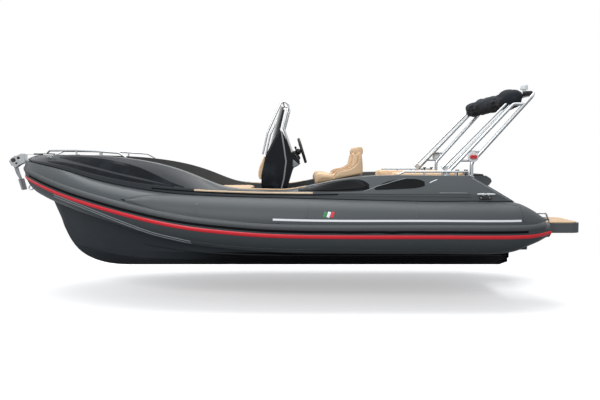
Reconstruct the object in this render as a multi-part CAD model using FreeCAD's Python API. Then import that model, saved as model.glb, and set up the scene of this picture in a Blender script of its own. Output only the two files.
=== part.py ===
# Inflatable boat with a rigid deep-V hull, about six metres long, with a centre console.
# Lengths are millimetres. X runs aft from amidships, Y to starboard, Z up from the waterline.
# Heights are given above the keel line and level() turns them into Z.
import FreeCAD, Part
import math
import os

Vector = FreeCAD.Vector

# Main lines of the boat
draft = 360                 # keel line below the waterline
wall_nose = -3020           # foremost point of the side wall line
stern_end = 2480            # aft end of the tube cones
bow_run = 2820              # length over which the side wall reaches its full breadth
side_breadth = 980          # half-breadth of the side wall line amidships
stern_pinch = 30            # how far the side wall line draws in at the stern
seat_gap = 0.3              # running clearance between fixed pieces
hidden_gap = 8              # room between the large mouldings where they curve together

# Heights above the keel
low_height = 264            # lower border of the flank amidships
low_bow_height = 787        # the same border at the stem
ledge_height = 790          # top of the tube, where the side deck rests
ledge_bow_height = 1200
stripe_height = 460         # red stripe amidships
stripe_bow_height = 1023
rim_height = 900            # gunwale amidships
rim_bow_height = 1262       # coaming at the bow
floor_height = 450          # underside of the cockpit floor, top of the hull

# Flank and tube
flank_swell = 262           # how far the flank stands out of the side wall
ledge_share = 0.24          # ledge width as a share of the swell
ledge_nose_share = 0.88     # the same at the nose
waist_above_stripe = 80     # the flank is widest this far above the stripe
tube_bulge = 16             # the tube stands this far out of the flank
tube_above_stripe = 122     # lower edge of the tube above the stripe
tube_tip = -1730            # pointed front end of the tube
tube_full = -1080           # from here aft the tube takes the whole depth of the flank
cone_seam = 2185            # seam between tube and stern cone
strake_proud = 14
strake_low = 62             # strake edges above the stripe centre
strake_high = 118
stripe_proud = 9
stripe_width = 38
line_proud = 1.6
line_width = 20
line_above_stripe = 160     # white line on the tube
line_start = -262
line_end = 2140

# Side deck
wall_thick = 200            # coaming and gunwale, from the side wall inward
wall_nose_thick = 100
brow_in = 96                # outer top edge of the coaming, in from the side wall, at the bow
quarter_in = 26             # the same edge at the quarter
shoulder_rise = 66          # shoulder of the side deck above the ledge
rim_rise = 6                # least rise of the rim over the shoulder
side_bow = 14               # outward bow of the coaming face
deck_lift = 45              # hidden room under the side deck at the bow

# Hull
stem_x = -2846              # stem at the flank border
forefoot_x = -2000          # the keel line is level from here aft
transom_x = 2300
hull_step = 200             # foot of the stern brackets beside the motor
chine_height = 245
chine_breadth = 952

chine_cap = 0.97            # the chine stays inside this share of the flank border
chine_lift = 6              # least height of the chine over the keel and under the border
bracket_reach = 100         # stern brackets under the platforms
bracket_rise = 19
bracket_half = 700
bracket_foot = 345          # the brackets' outer foot
step_places = ((2115, 700), (2190, 300.3))   # the bottom ends in steps: place, outboard of this
step_height = 300
lip_share = 0.74            # side deck lip as a share of the ledge width

# Stern
slant_x = 1720              # the quarters slope down from here
slant_height = 1045
slant_fall = 0.603          # fall of the slope for each unit of length
well_half = 300             # half-breadth of the motor well
board_thick = 60            # transom board
board_foot = 120
board_top = 635
stern_block_x = 1740        # fore face of the stern moulding
well_front = 1980
well_floor = 500
bolt_upper = 327            # spacing of the outboard motor's upper bolts
bolt_lower = 250.8
bolt_drop = 51
bolt_rows = 203
bolt_hole = 6.5
bolt_depth = 45             # the lower bolts reach this far into the hull
backrest_back = 30
backrest_pad = 14

# Bow and cockpit
bow_deck_start = -2915
bow_deck_end = -2450
bow_deck_foot = 830
deck_drop = 10
locker_end = -550
locker_height = 800
pad_thick = 84
pad_inset = 14
pad_round = 24
floor_thick = 25
plan_steps = 10

# Panels let onto the coaming faces
panel_proud = 2.5
panel_sink = 5
panel_steps = 4

strip_start = -640          # teak strips on the gunwales
strip_end = 60
strip_inset = 16
strip_thick = 8

# Console, windscreen and wheel
console_half = 320
console_x = -447            # fore face of the console
console_round = 22
trim_width = 16
glass_thick = 6
glass_half = 262
rail_radius = 11
wheel_radius = 150
wheel_grip = 14
wheel_x = 24
wheel_y = 150
wheel_height = 1313
wheel_tilt = 17             # the wheel's axis points this many degrees above aft
hub_radius = 34
spoke_radius = 8
shaft_radius = 22

# Helm seats
seat_y = 335
seat_half = 235
seat_front = 148
seat_length = 524
seat_foot = 946             # underside of the seat at its front
seat_slope = 0.2            # the seat base rises aft
seat_base_x = 172
seat_base_length = 490
seat_base_half = 640

# Aft sofa and stern moulding
sofa_x = 930
sofa_half = 762
sofa_seat_height = 850
sofa_pad = 100
sofa_back_top = 1085
sofa_back_x = 1560
sofa_arm_inner = 620
backrest_half = 520
backrest_end = 2050
backrest_top = 1052
platform_end = 2850
platform_inner = 312
platform_outer = 945
platform_top = 570
platform_thick = 100
platform_corner = 110
teak_thick = 8
teak_inset = 22

# Bars, bows and fittings
bar_radius = 19
bar_y = 888
bar_top_x = 2364
bar_top = 1880
post_x = 1737
post_bend = 1180
bar_bend = 75
brace_foot_x = 1488
brace_top_x = 2150
brace_top = 1768
strut_heights = (1199, 1291)
strut_radius = 11
bow_radius = 12.5
bow_y = 823
pin_x = 1485
pin_height = 1105
pin_radius = 4
pin_play = 0.15
bow_spread = 33             # each bow's foot beside the pin
bow_foot = 1125
cover_x = 2160
cover_height = 1830
cover_radius = 108
cover_half = 862
small_rail = 10
rail_rise = 46

over = 5                    # overrun of cutting tools

# Shares: first value is the place along the boat from wall_nose to stern_end
low_shares = ((0, 1.0), (0.031, 0.985), (0.12, 0.80), (0.213, 0.545), (0.2745, 0.348),
              (0.351, 0.182), (0.425, 0.094), (0.513, 0.025), (0.64, 0.004), (0.8, 0.0),
              (0.93, 0.02), (0.967, 0.20), (0.985, 0.32), (1.0, 0.42))
ledge_shares = ((0, 1.0), (0.091, 0.77), (0.18, 0.47), (0.272, 0.26), (0.349, 0.16),
                (0.513, 0.09), (0.8, 0.0), (0.938, -0.02), (0.967, -0.20), (0.985, -0.38),
                (1.0, -0.56))
stripe_shares = ((0, 1.0), (0.11, 0.68), (0.223, 0.41), (0.301, 0.243), (0.376, 0.124),
                 (0.515, 0.018), (0.8, 0.0), (0.95, 0.0), (1.0, 0.05))
rim_shares = ((0, 1.0), (0.12, 0.985), (0.218, 0.885), (0.293, 0.685), (0.349, 0.415),
              (0.405, 0.11), (0.44, 0.02), (0.513, 0.0), (0.549, 0.06), (0.576, 0.16),
              (0.633, 0.34), (0.68, 0.42), (0.731, 0.41), (0.862, 0.41), (1.0, 0.41))
ledge_out_shares = ((0, 1.0), (0.03, 0.72), (0.08, 0.3), (0.15, 0.0), (1.0, 0.0))
swell_shares = ((0, 0.42), (0.03, 0.46), (0.08, 0.56), (0.149, 0.74), (0.25, 0.92),
                (0.35, 1.0), (0.60, 1.0), (0.93, 1.0), (0.967, 0.88), (0.985, 0.68), (1.0, 0.36))
border_shares = ((0, 1.0), (0.06, 0.85), (0.149, 0.35), (0.22, 0.0), (1.0, 0.0))
brow_shares = ((0, 0.55), (0.06, 0.8), (0.15, 1.0), (0.45, 0.9), (0.55, 0.5), (0.65, 0.0), (1.0, 0.0))
top_shares = ((0, 1.0), (0.12, 0.80), (0.213, 0.52), (0.26, 0.36), (0.32, 0.22),
              (0.40, 0.06), (0.46, 0.0), (1.0, 0.0))
wall_shares = ((0, 0.0), (0.06, 0.3), (0.149, 1.0), (1.0, 1.0))
chine_breadth_shares = ((0.03, 0.0), (0.07, 0.02), (0.096, 0.10), (0.149, 0.30), (0.185, 0.43),
                        (0.258, 0.65), (0.349, 0.87), (0.42, 0.965), (0.513, 0.995), (0.7, 1.0),
                        (1.0, 1.0))
chine_height_shares = ((0.03, 2.6), (0.07, 1.35), (0.096, 1.02), (0.149, 0.80), (0.185, 0.72),
                       (0.258, 0.68), (0.349, 0.78), (0.42, 0.95), (0.513, 1.0), (1.0, 1.0))
keel_shares = ((0, 1.0), (0.12, 0.69), (0.245, 0.365), (0.33, 0.25), (0.42, 0.165), (0.55, 0.088),
               (0.76, 0.022), (1.0, 0.0))
wall_lift_shares = ((0, 1.0), (0.15, 1.0), (0.3, 0.25), (0.36, 0.0), (1.0, 0.0))
shoulder_shares = ((0, 0.3), (0.09, 0.6), (0.2, 0.8), (0.35, 1.0), (1.0, 1.0))
bow_station_shares = (0, 0.0025, 0.008, 0.018, 0.035, 0.06, 0.09, 0.13, 0.18, 0.24, 0.31,
                      0.39, 0.48, 0.58, 0.68, 0.79, 0.9, 1.0)
stern_station_shares = (0.2, 0.4, 0.6, 0.75, 0.84, 0.885, 0.92, 0.95, 0.975, 1.0)

edge_share = 0.2            # least height of the flank's foot face, as a share of its height
border_in = 170             # the flank border at the stem lies this far inside the wall line
border_step = 34            # height of the hull edge above the flank border at the bow


def level(height):
    """Z of a height above the keel."""
    return height - draft


def smooth(t, shares):
    """Cubic curve through the share points, level beyond both ends."""
    if t <= shares[0][0]:
        return shares[0][1]
    if t >= shares[-1][0]:
        return shares[-1][1]
    count = len(shares)
    slopes = []
    for i in range(count):
        before = shares[max(i - 1, 0)]
        after = shares[min(i + 1, count - 1)]
        slopes.append((after[1] - before[1]) / (after[0] - before[0]))
    for i in range(count - 1):
        if t <= shares[i + 1][0]:
            span = shares[i + 1][0] - shares[i][0]
            s = (t - shares[i][0]) / span
            h00 = 2 * s ** 3 - 3 * s ** 2 + 1
            h10 = s ** 3 - 2 * s ** 2 + s
            h01 = 3 * s ** 2 - 2 * s ** 3
            h11 = s ** 3 - s ** 2
            return (h00 * shares[i][1] + h10 * span * slopes[i]
                    + h01 * shares[i + 1][1] + h11 * span * slopes[i + 1])
    return shares[-1][1]


def place(x):
    """Share of the way from the nose to the stern end."""
    return (x - wall_nose) / (stern_end - wall_nose)


def low(x):
    return low_height + (low_bow_height - low_height) * smooth(place(x), low_shares)


def ledge(x):
    return ledge_height + (ledge_bow_height - ledge_height) * smooth(place(x), ledge_shares)


def stripe(x):
    return stripe_height + (stripe_bow_height - stripe_height) * smooth(place(x), stripe_shares)


def rim(x):
    return rim_height + (rim_bow_height - rim_height) * smooth(place(x), rim_shares)


def swell(x):
    return flank_swell * smooth(place(x), swell_shares)


def ledge_out(x):
    """How far the ledge stands out of the side wall line."""
    share = ledge_share + (ledge_nose_share - ledge_share) * smooth(place(x), ledge_out_shares)
    return swell(x) * share


def hull_top(x):
    """Height of the hull's upper edge, where the side deck and the floor begin."""
    bow_top = low_bow_height + border_step
    return floor_height + (bow_top - floor_height) * smooth(place(x), top_shares)


def wall(x):
    return wall_nose_thick + (wall_thick - wall_nose_thick) * smooth(place(x), wall_shares)


def plan(u):
    return (1 - (1 - u) ** 2.3) ** 0.62


def half_breadth(x):
    """Side wall line that hull, flank, tube and side deck share."""
    u = min(max((x - wall_nose) / bow_run, 0), 1)
    aft = max(x, 0) / stern_end
    return side_breadth * plan(u) - stern_pinch * aft ** 3


def outboard(x):
    """Unit normal of the side wall line on the starboard side."""
    if x <= wall_nose:
        return Vector(-1, 0, 0)
    step = min((x - wall_nose) / 4, bow_run / 400)
    slope = (half_breadth(x + step) - half_breadth(x - step)) / (2 * step)
    return Vector(-slope, 1, 0).normalize()


def rib(x, offset, height):
    """Point in the cross plane at x, so far outboard of the side wall line."""
    normal = outboard(x)
    return Vector(x + normal.x * offset, half_breadth(x) + normal.y * offset, level(height))


def stations():
    bow = [wall_nose + bow_run * share for share in bow_station_shares]
    return bow + [bow[-1] + (stern_end - bow[-1]) * share for share in stern_station_shares]


def polygon(points):
    return Part.makePolygon(list(points) + [points[0]])


def loft(wires, ruled=False):
    return Part.makeLoft(wires, True, ruled)


def mirrored(shape):
    return shape.mirror(Vector(0, 0, 0), Vector(0, 1, 0))


def box(x0, x1, y0, y1, z0, z1):
    """Box between two corners, z as heights above the keel."""
    return Part.makeBox(x1 - x0, y1 - y0, z1 - z0, Vector(x0, y0, level(z0)))


def prism(points, y0, y1):
    """Solid of a side outline, points as x and height, from y0 to y1."""
    wire = polygon([Vector(x, y0, level(h)) for x, h in points])
    return Part.Face(wire).extrude(Vector(0, y1 - y0, 0))


def tidy(shape):
    """Largest solid of a cut, with its seams merged."""
    solids = sorted(shape.Solids, key=lambda s: s.Volume)
    return solids[-1]


def pipe(points, radius, bend):
    """Round bar along straight runs that meet in arcs."""
    edges = []
    start = points[0]
    for i in range(1, len(points) - 1):
        corner = points[i]
        into = (corner - points[i - 1]).normalize()
        out = (points[i + 1] - corner).normalize()
        turn = into.getAngle(out)
        cut = bend * math.tan(turn / 2)
        a = corner - into * cut
        b = corner + out * cut
        inward = (out - into).normalize()
        middle = corner + inward * (bend / math.cos(turn / 2) - bend)
        edges.append(Part.makeLine(start, a))
        edges.append(Part.Arc(a, middle, b).toShape())
        start = b
    edges.append(Part.makeLine(start, points[-1]))
    path = Part.Wire(edges)
    heading = (points[1] - points[0]).normalize()
    ring = Part.Wire(Part.makeCircle(radius, points[0], heading))
    return path.makePipeShell([ring], True, True)


def rod(a, b, radius):
    return Part.makeCylinder(radius, (b - a).Length, a, b - a)


# Flank, tube and what runs along them

def circle(a, b, c):
    """Centre and radius of the circle through three points, as offset and height."""
    (ax, az), (bx, bz), (cx, cz) = a, b, c
    d = 2 * (ax * (bz - cz) + bx * (cz - az) + cx * (az - bz))
    ux = ((ax ** 2 + az ** 2) * (bz - cz) + (bx ** 2 + bz ** 2) * (cz - az)
          + (cx ** 2 + cz ** 2) * (az - bz)) / d
    uz = ((ax ** 2 + az ** 2) * (cx - bx) + (bx ** 2 + bz ** 2) * (ax - cx)
          + (cx ** 2 + cz ** 2) * (bx - ax)) / d
    return ux, uz, math.hypot(ax - ux, az - uz)


def flank_circle(x):
    """Circle of the flank's outer arc."""
    border = (-border_in * smooth(place(x), border_shares), low(x))
    waist = (swell(x), stripe(x) + waist_above_stripe)
    return circle(border, waist, (ledge_out(x), ledge(x)))


def skin(x, height):
    """Offset of the flank's outer face at a height."""
    ux, uz, radius = flank_circle(x)
    return ux + math.sqrt(max(radius ** 2 - (height - uz) ** 2, 0))


def flank_section(x):
    a = rib(x, seat_gap - border_in * smooth(place(x), border_shares), low(x))
    b = rib(x, swell(x), stripe(x) + waist_above_stripe)
    c = rib(x, ledge_out(x), ledge(x))
    d = rib(x, seat_gap, ledge(x))
    e = rib(x, seat_gap, max(hull_top(x), low(x) + (ledge(x) - low(x)) * edge_share))
    arc = Part.Arc(a, b, c).toShape()
    return Part.Wire([arc, Part.makeLine(c, d), Part.makeLine(d, e), Part.makeLine(e, a)])


def tube_low(x):
    """Lower edge of the tube, rising to the tip at the front."""
    share = min(max((x - tube_tip) / (tube_full - tube_tip), 0), 1)
    aim = stripe(x) + tube_above_stripe
    return aim + (1 - share) ** 2 * tube_above_stripe * 0.1


def tube_high(x):
    share = min(max((x - tube_tip) / (tube_full - tube_tip), 0), 1)
    ease = 1 - (1 - share) ** 2.6
    return tube_low(x) + (ledge(x) - tube_low(x)) * ease


def tube_section(x):
    share = min(max((x - tube_tip) / (tube_full - tube_tip), 0), 1)
    zl = tube_low(x)
    zu = max(tube_high(x), zl + 8)
    full = share >= 1
    depth = skin(x, zl) if full else skin(x, zl) * (0.1 + 0.88 * share)
    low_out = skin(x, zl)
    high_out = skin(x, zu)
    middle = (zl + zu) / 2
    bulge = tube_bulge * math.sqrt(share) + 1
    high_in = 0 if full else max(high_out - depth, 0)
    low_in = 0 if full else max(low_out - depth, 0)
    top = zu + seat_gap if full else zu
    a = rib(x, low_out, zl)
    b = rib(x, skin(x, middle) + bulge, middle)
    c = rib(x, high_out, top)
    d = rib(x, high_in, top)
    e = rib(x, low_in, zl)
    arc = Part.Arc(a, b, c).toShape()
    return Part.Wire([arc, Part.makeLine(c, d), Part.makeLine(d, e), Part.makeLine(e, a)])


def band_section(x, below, above, proud, sink):
    """Band that follows the flank between two heights over the stripe centre."""
    z0 = stripe(x) + below
    z1 = stripe(x) + above
    a = rib(x, skin(x, z0) - sink, z0)
    b = rib(x, skin(x, z0) + proud / 4, z0)
    m = rib(x, skin(x, (z0 + z1) / 2) + proud, (z0 + z1) / 2)
    c = rib(x, skin(x, z1) + proud / 4, z1)
    d = rib(x, skin(x, z1) - sink, z1)
    arc = Part.Arc(b, m, c).toShape()
    return Part.Wire([Part.makeLine(a, b), arc, Part.makeLine(c, d), Part.makeLine(d, a)])



nodes = {}


def keep(name, shape):
    nodes[name] = shape


def keep_pair(name, shape):
    """Starboard piece and its port twin."""
    nodes[name + "_starboard"] = shape
    nodes[name + "_port"] = mirrored(shape)


def keep_twins(name, *shapes):
    """Starboard pieces and their port twins as one sub-part."""
    nodes[name] = Part.makeCompound(list(shapes) + [mirrored(shape) for shape in shapes])


def between(shape, x0, x1):
    """Part of a shape between two cross planes."""
    bounds = shape.BoundBox
    slab = Part.makeBox(x1 - x0, bounds.YLength + 2 * over, bounds.ZLength + 2 * over,
                        Vector(x0, bounds.YMin - over, bounds.ZMin - over))
    return tidy(shape.common(slab))


flank_stations = stations()
flank_body = loft([flank_section(x) for x in flank_stations])
tube_stations = [tube_tip, tube_tip + 30] + [x for x in flank_stations if x > tube_tip + 90]
tube_body = loft([tube_section(x) for x in tube_stations])
flank = tidy(flank_body.cut(tube_body))
keep_pair("flank_moulding", flank)


def tube_skin(x, height):
    """Offset of the tube's outer face at a height."""
    low_edge, high_edge = tube_low(x), tube_high(x)
    middle = (low_edge + high_edge) / 2
    ax, bx, cx = skin(x, low_edge), skin(x, middle) + tube_bulge + 1, skin(x, high_edge)
    ux, uz, radius = circle((ax, low_edge), (bx, middle), (cx, high_edge))
    return ux + math.sqrt(max(radius ** 2 - (height - uz) ** 2, 0))


def line_section(x):
    z0 = stripe(x) + line_above_stripe - line_width / 2
    z1 = z0 + line_width
    corners = [rib(x, tube_skin(x, z0) - over, z0), rib(x, tube_skin(x, z0) + line_proud, z0),
               rib(x, tube_skin(x, z1) + line_proud, z1), rib(x, tube_skin(x, z1) - over, z1)]
    return polygon(corners)


line_places = [line_start + (line_end - line_start) * share for share in (0, 0.2, 0.4, 0.6, 0.8, 1)]
white_line = loft([line_section(x) for x in line_places])
keep_twins("white_stripes", white_line)
keep_pair("tube", between(tidy(tube_body.cut(white_line)), tube_tip - over, cone_seam))
keep_twins("tube_cones", between(tube_body, cone_seam, stern_end + over))


def band(below, above, proud):
    """Raised band along the flank, trimmed to lie on its face."""
    places = [x for x in flank_stations if ledge(x) > stripe(x) + above]
    solid = loft([band_section(x, below, above, proud, over) for x in places])
    return tidy(solid.cut(flank_body))


keep_twins("rub_strakes", band(strake_low, strake_high, strake_proud))
keep_twins("red_stripes", band(-stripe_width / 2, stripe_width / 2, stripe_proud))


# Hull

def keel(x):
    share = (x - stem_x) / (forefoot_x - stem_x)
    return low_bow_height * smooth(share, keel_shares)


def hull_section(x):
    edge = rib(x, -border_in * smooth(place(x), border_shares) - hidden_gap, low(x))
    chine_y = min(chine_breadth * smooth(place(edge.x), chine_breadth_shares), edge.y * chine_cap)
    chine_z = chine_height * smooth(place(edge.x), chine_height_shares)
    keel_z = keel(edge.x)
    chine_z = min(max(chine_z, keel_z + chine_lift), low(x) - chine_lift)
    half = [(chine_y, chine_z), (edge.y, low(x)), (edge.y, hull_top(edge.x))]
    points = [Vector(edge.x, 0, level(keel_z))]
    points += [Vector(edge.x, y, level(z)) for y, z in half]
    points += [Vector(edge.x, -y, level(z)) for y, z in reversed(half)]
    return polygon(points)


hull_places = [x for x in flank_stations if wall_nose + bow_run * 0.005 < x < transom_x - over]
hull = loft([hull_section(x) for x in hull_places] + [hull_section(transom_x)])
bracket_inner = well_half + seat_gap
bracket_ridge = floor_height + bracket_rise
bracket_outline = [(bracket_inner, hull_step), (bracket_half, bracket_foot),
                   (bracket_half, bracket_ridge), (bracket_inner, bracket_ridge)]
bracket_face = Part.Face(polygon([Vector(transom_x - over, y, level(z)) for y, z in bracket_outline]))
bracket = bracket_face.extrude(Vector(bracket_reach + over, 0, 0))
well_room = box(transom_x - board_thick - seat_gap, transom_x + bracket_reach + over,
                -well_half - seat_gap, well_half + seat_gap, board_foot, rim_bow_height)
hull = hull.fuse([bracket, mirrored(bracket)])
for step_x, step_y in step_places:
    corner = box(step_x, transom_x + over, step_y, side_breadth + over, -over, step_height)
    hull = hull.cut([corner, mirrored(corner)])
hull = tidy(hull.cut(well_room))
for side in (-1, 1):
    hull = hull.cut(Part.makeCylinder(bolt_hole, bolt_depth + over, Vector(
        transom_x - board_thick - bolt_depth, side * bolt_lower / 2,
        level(board_top - bolt_drop - bolt_rows)), Vector(1, 0, 0)))
keep("hull", hull)

# Side decks, bow deck and floor

def shoulder(x):
    return ledge(x) + shoulder_rise * smooth(place(x), shoulder_shares)


def rim_top(x):
    return max(rim(x), shoulder(x) + rim_rise)


def lip(x):
    return lip_share * ledge_out(x)


def brow(x):
    return quarter_in + (brow_in - quarter_in) * smooth(place(x), brow_shares)


def deck_section(x):
    foot = hull_top(x) + hidden_gap + deck_lift * smooth(place(x), wall_lift_shares)
    seat = ledge(x) + hidden_gap
    low_edge, high_edge = rib(x, lip(x), shoulder(x)), rib(x, -brow(x), rim_top(x))
    middle = rib(x, (lip(x) - brow(x)) / 2 + side_bow / 2,
                 (shoulder(x) + rim_top(x)) / 2 + side_bow / 2)
    corners = [high_edge, rib(x, -wall(x), rim_top(x)), rib(x, -wall(x), foot),
               rib(x, -hidden_gap, foot), rib(x, -hidden_gap, seat), rib(x, lip(x), seat), low_edge]
    edges = [Part.makeLine(a, b) for a, b in zip(corners[:-1], corners[1:])]
    return Part.Wire(edges + [Part.Arc(low_edge, middle, high_edge).toShape()])


def slant(x):
    """Height of the sloping stern face of the quarters."""
    return slant_height - (x - slant_x) * slant_fall


deck_places = [x for x in flank_stations if x < transom_x - over] + [transom_x]
side_deck = loft([deck_section(x) for x in deck_places])
stern_cut = prism([(slant_x, slant_height), (transom_x + over, slant(transom_x + over)),
                   (transom_x + over, rim_bow_height + over), (slant_x, rim_bow_height + over)],
                  0, 2 * side_breadth)
inboard_and_up = Vector(0, -seat_gap, seat_gap)
side_deck = tidy(side_deck.cut(stern_cut).cut([tube_body.translated(inboard_and_up),
                                               flank.translated(inboard_and_up)]))


def face_point(x, share, proud=0):
    """Point on the coaming's outer face, share from the shoulder to the rim."""
    low_edge, high_edge = rib(x, lip(x), shoulder(x)), rib(x, -brow(x), rim_top(x))
    middle = rib(x, (lip(x) - brow(x)) / 2 + side_bow / 2,
                 (shoulder(x) + rim_top(x)) / 2 + side_bow / 2)
    arc = Part.Arc(low_edge, middle, high_edge)
    place_on = arc.value(arc.FirstParameter + (arc.LastParameter - arc.FirstParameter) * share)
    outward = (place_on - arc.toShape().Curve.Center).normalize()
    if outward.dot(outboard(x)) < 0:
        outward = -outward
    return place_on + outward * proud


def panel(places, low_shares_here, high_shares_here):
    """Thin panel let into the coaming face between two edges."""
    wires = []
    for x, a, b in zip(places, low_shares_here, high_shares_here):
        across = [a + (b - a) * i / panel_steps for i in range(panel_steps + 1)]
        wires.append(polygon([face_point(x, share, -panel_sink) for share in across]
                             + [face_point(x, share, panel_proud) for share in reversed(across)]))
    return loft(wires)


bow_panel_xs = [-2610, -2450, -2200, -1850, -1560, -1340, -1160]
upper_panel = panel(bow_panel_xs, (0.62, 0.50, 0.40, 0.30, 0.22, 0.12, 0.03),
                    (0.76, 0.84, 0.86, 0.78, 0.58, 0.30, 0.09))
lower_panel_xs = [-2700, -2500, -2200, -1850, -1500, -1260]
lower_panel = panel(lower_panel_xs, (0.10, 0.06, 0.04, 0.03, 0.02, 0.02),
                    (0.18, 0.26, 0.28, 0.21, 0.13, 0.07))
side_panel_xs = [-20, 150, 320, 480, 600, 690]
side_panel = panel(side_panel_xs, (0.10, 0.08, 0.08, 0.10, 0.14, 0.24),
                   (0.72, 0.90, 0.92, 0.88, 0.78, 0.50))
keep_twins("glossy_panels", upper_panel, lower_panel, side_panel)
quarter_panel_xs = [745, 850, 960, 1080, 1180, 1245]
quarter_panel = panel(quarter_panel_xs, (0.20, 0.22, 0.26, 0.30, 0.36, 0.46),
                      (0.30, 0.60, 0.76, 0.82, 0.80, 0.66))
keep_twins("quarter_panels", quarter_panel)
side_deck = tidy(side_deck.cut([upper_panel, lower_panel, side_panel, quarter_panel]))
keep_pair("side_deck", side_deck)


def wall_line(x0, x1, inset):
    """Inner faces of the side decks from x0 to x1 as closed plan outline points."""
    fine = [x0 + (x1 - x0) * i / plan_steps for i in range(plan_steps + 1)]
    points = []
    for x in fine:
        point = Vector(x, inner_breadth(x) - inset, 0)
        points.append(point)
    return points


def inner_breadth(x):
    """Half-breadth between the side decks in the cross plane at x."""
    guess = x
    for i in range(12):
        guess += x - rib(guess, -wall(guess), 0).x
        guess = max(guess, wall_nose)
    return rib(guess, -wall(guess), 0).y


def plan_solid(x0, x1, inset, z0, z1):
    """Solid between the side decks, from x0 to x1 and z0 to z1."""
    side = wall_line(x0, x1, inset)
    near = [Vector(p.x, p.y, level(z0)) for p in side]
    far = [Vector(p.x, -p.y, level(z0)) for p in reversed(side)]
    edge_a = Part.BSplineCurve()
    edge_a.interpolate(near)
    edge_b = Part.BSplineCurve()
    edge_b.interpolate(far)
    edges = [edge_a.toShape(), Part.makeLine(near[-1], far[0]), edge_b.toShape()]
    if (far[-1] - near[0]).Length > over:
        edges.append(Part.makeLine(far[-1], near[0]))
    face = Part.Face(Part.Wire(edges))
    return face.extrude(Vector(0, 0, z1 - z0))


bow_deck = plan_solid(bow_deck_start, bow_deck_end, seat_gap, bow_deck_foot, rim_bow_height - deck_drop)
keep("bow_deck", bow_deck)
locker = plan_solid(bow_deck_end + seat_gap, locker_end, seat_gap, floor_height + seat_gap, locker_height)
keep("bow_locker", tidy(locker.cut([hull, side_deck, mirrored(side_deck)])))
pad = plan_solid(bow_deck_end + pad_inset, locker_end - pad_inset / 2, pad_inset,
                 locker_height + seat_gap, locker_height + pad_thick)
pad_rims = [e for e in pad.Edges if abs(e.BoundBox.ZMin - level(locker_height + pad_thick)) < seat_gap
            and e.BoundBox.ZLength < seat_gap]
keep("bow_sun_pad", pad.makeFillet(pad_round, pad_rims))
cockpit_floor = plan_solid(locker_end + seat_gap, stern_block_x - seat_gap, seat_gap,
                           floor_height + seat_gap, floor_height + floor_thick)
keep("cockpit_floor", tidy(cockpit_floor.cut(hull.translated(Vector(0, 0, seat_gap)))))

# Stern moulding, transom board and platforms
floor_top = floor_height + floor_thick
block_half = inner_breadth(stern_block_x) - seat_gap - stern_pinch
stern_block = prism([(stern_block_x, floor_height + seat_gap), (stern_block_x, slant(stern_block_x)),
                     (transom_x, slant(transom_x)), (transom_x, floor_height + seat_gap)],
                    -block_half, block_half)
well = box(well_front, transom_x + over, -well_half, well_half, well_floor, rim_bow_height)
board_room = box(transom_x - board_thick - seat_gap, transom_x + over, -well_half - seat_gap,
                 well_half + seat_gap, floor_height, rim_bow_height)
keep("stern_moulding", tidy(stern_block.cut([well, board_room, bracket, mirrored(bracket)])))
board = box(transom_x - board_thick, transom_x, -well_half, well_half, board_foot + seat_gap, board_top)
for side in (-1, 1):
    for spread, drop in ((bolt_upper, bolt_drop), (bolt_lower, bolt_drop + bolt_rows)):
        hole = Part.makeCylinder(bolt_hole, board_thick + 2 * over,
                                 Vector(transom_x - board_thick - over, side * spread / 2,
                                        level(board_top - drop)), Vector(1, 0, 0))
        board = board.cut(hole)
keep("transom_board", board)

rest_x = stern_block_x + backrest_back
backrest = prism([(rest_x, slant(rest_x) + seat_gap), (rest_x, backrest_top - backrest_pad),
                  (backrest_end - 60, backrest_top - backrest_pad),
                  (backrest_end - 12, backrest_top - backrest_pad - 30),
                  (backrest_end, backrest_top - 75),
                  (backrest_end - 30, backrest_top - 118),
                  (backrest_end - 110, slant(backrest_end - 110) + 10),
                  (backrest_end - 220, slant(backrest_end - 220) + seat_gap)],
                 -backrest_half, backrest_half)
keep("stern_backrest", backrest)
pad = box(rest_x, backrest_end - 80, -backrest_half + pad_inset, backrest_half - pad_inset,
          backrest_top - backrest_pad + seat_gap, backrest_top)
keep("backrest_pad", pad)

platform = box(transom_x + seat_gap, platform_end, platform_inner, platform_outer,
               platform_top - platform_thick, platform_top)
corner_edges = [e for e in platform.Edges if e.BoundBox.ZLength > platform_thick / 2
                and e.BoundBox.XMin > platform_end - over]
platform = platform.makeFillet(platform_corner, corner_edges)
keep_pair("swim_platform", platform)
teak = box(transom_x + teak_inset, platform_end - teak_inset, platform_inner + teak_inset,
           platform_outer - teak_inset, platform_top + seat_gap, platform_top + teak_thick)
teak_edges = [e for e in teak.Edges if e.BoundBox.ZLength > teak_thick / 2
              and e.BoundBox.XMin > platform_end - teak_inset - over]
keep_twins("platform_teak", teak.makeFillet(platform_corner - teak_inset, teak_edges))
handle_y = platform_outer - 55
handle_foot = platform_top + teak_thick + seat_gap
grab = pipe([Vector(transom_x + 60, handle_y, level(handle_foot)),
             Vector(transom_x + 60, handle_y, level(handle_foot + 88)),
             Vector(transom_x + 200, handle_y, level(handle_foot + 88)),
             Vector(transom_x + 235, handle_y, level(handle_foot))], small_rail, 26)
keep_twins("grab_handles", tidy(grab.cut(teak.translated(Vector(0, 0, seat_gap)))))

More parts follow.
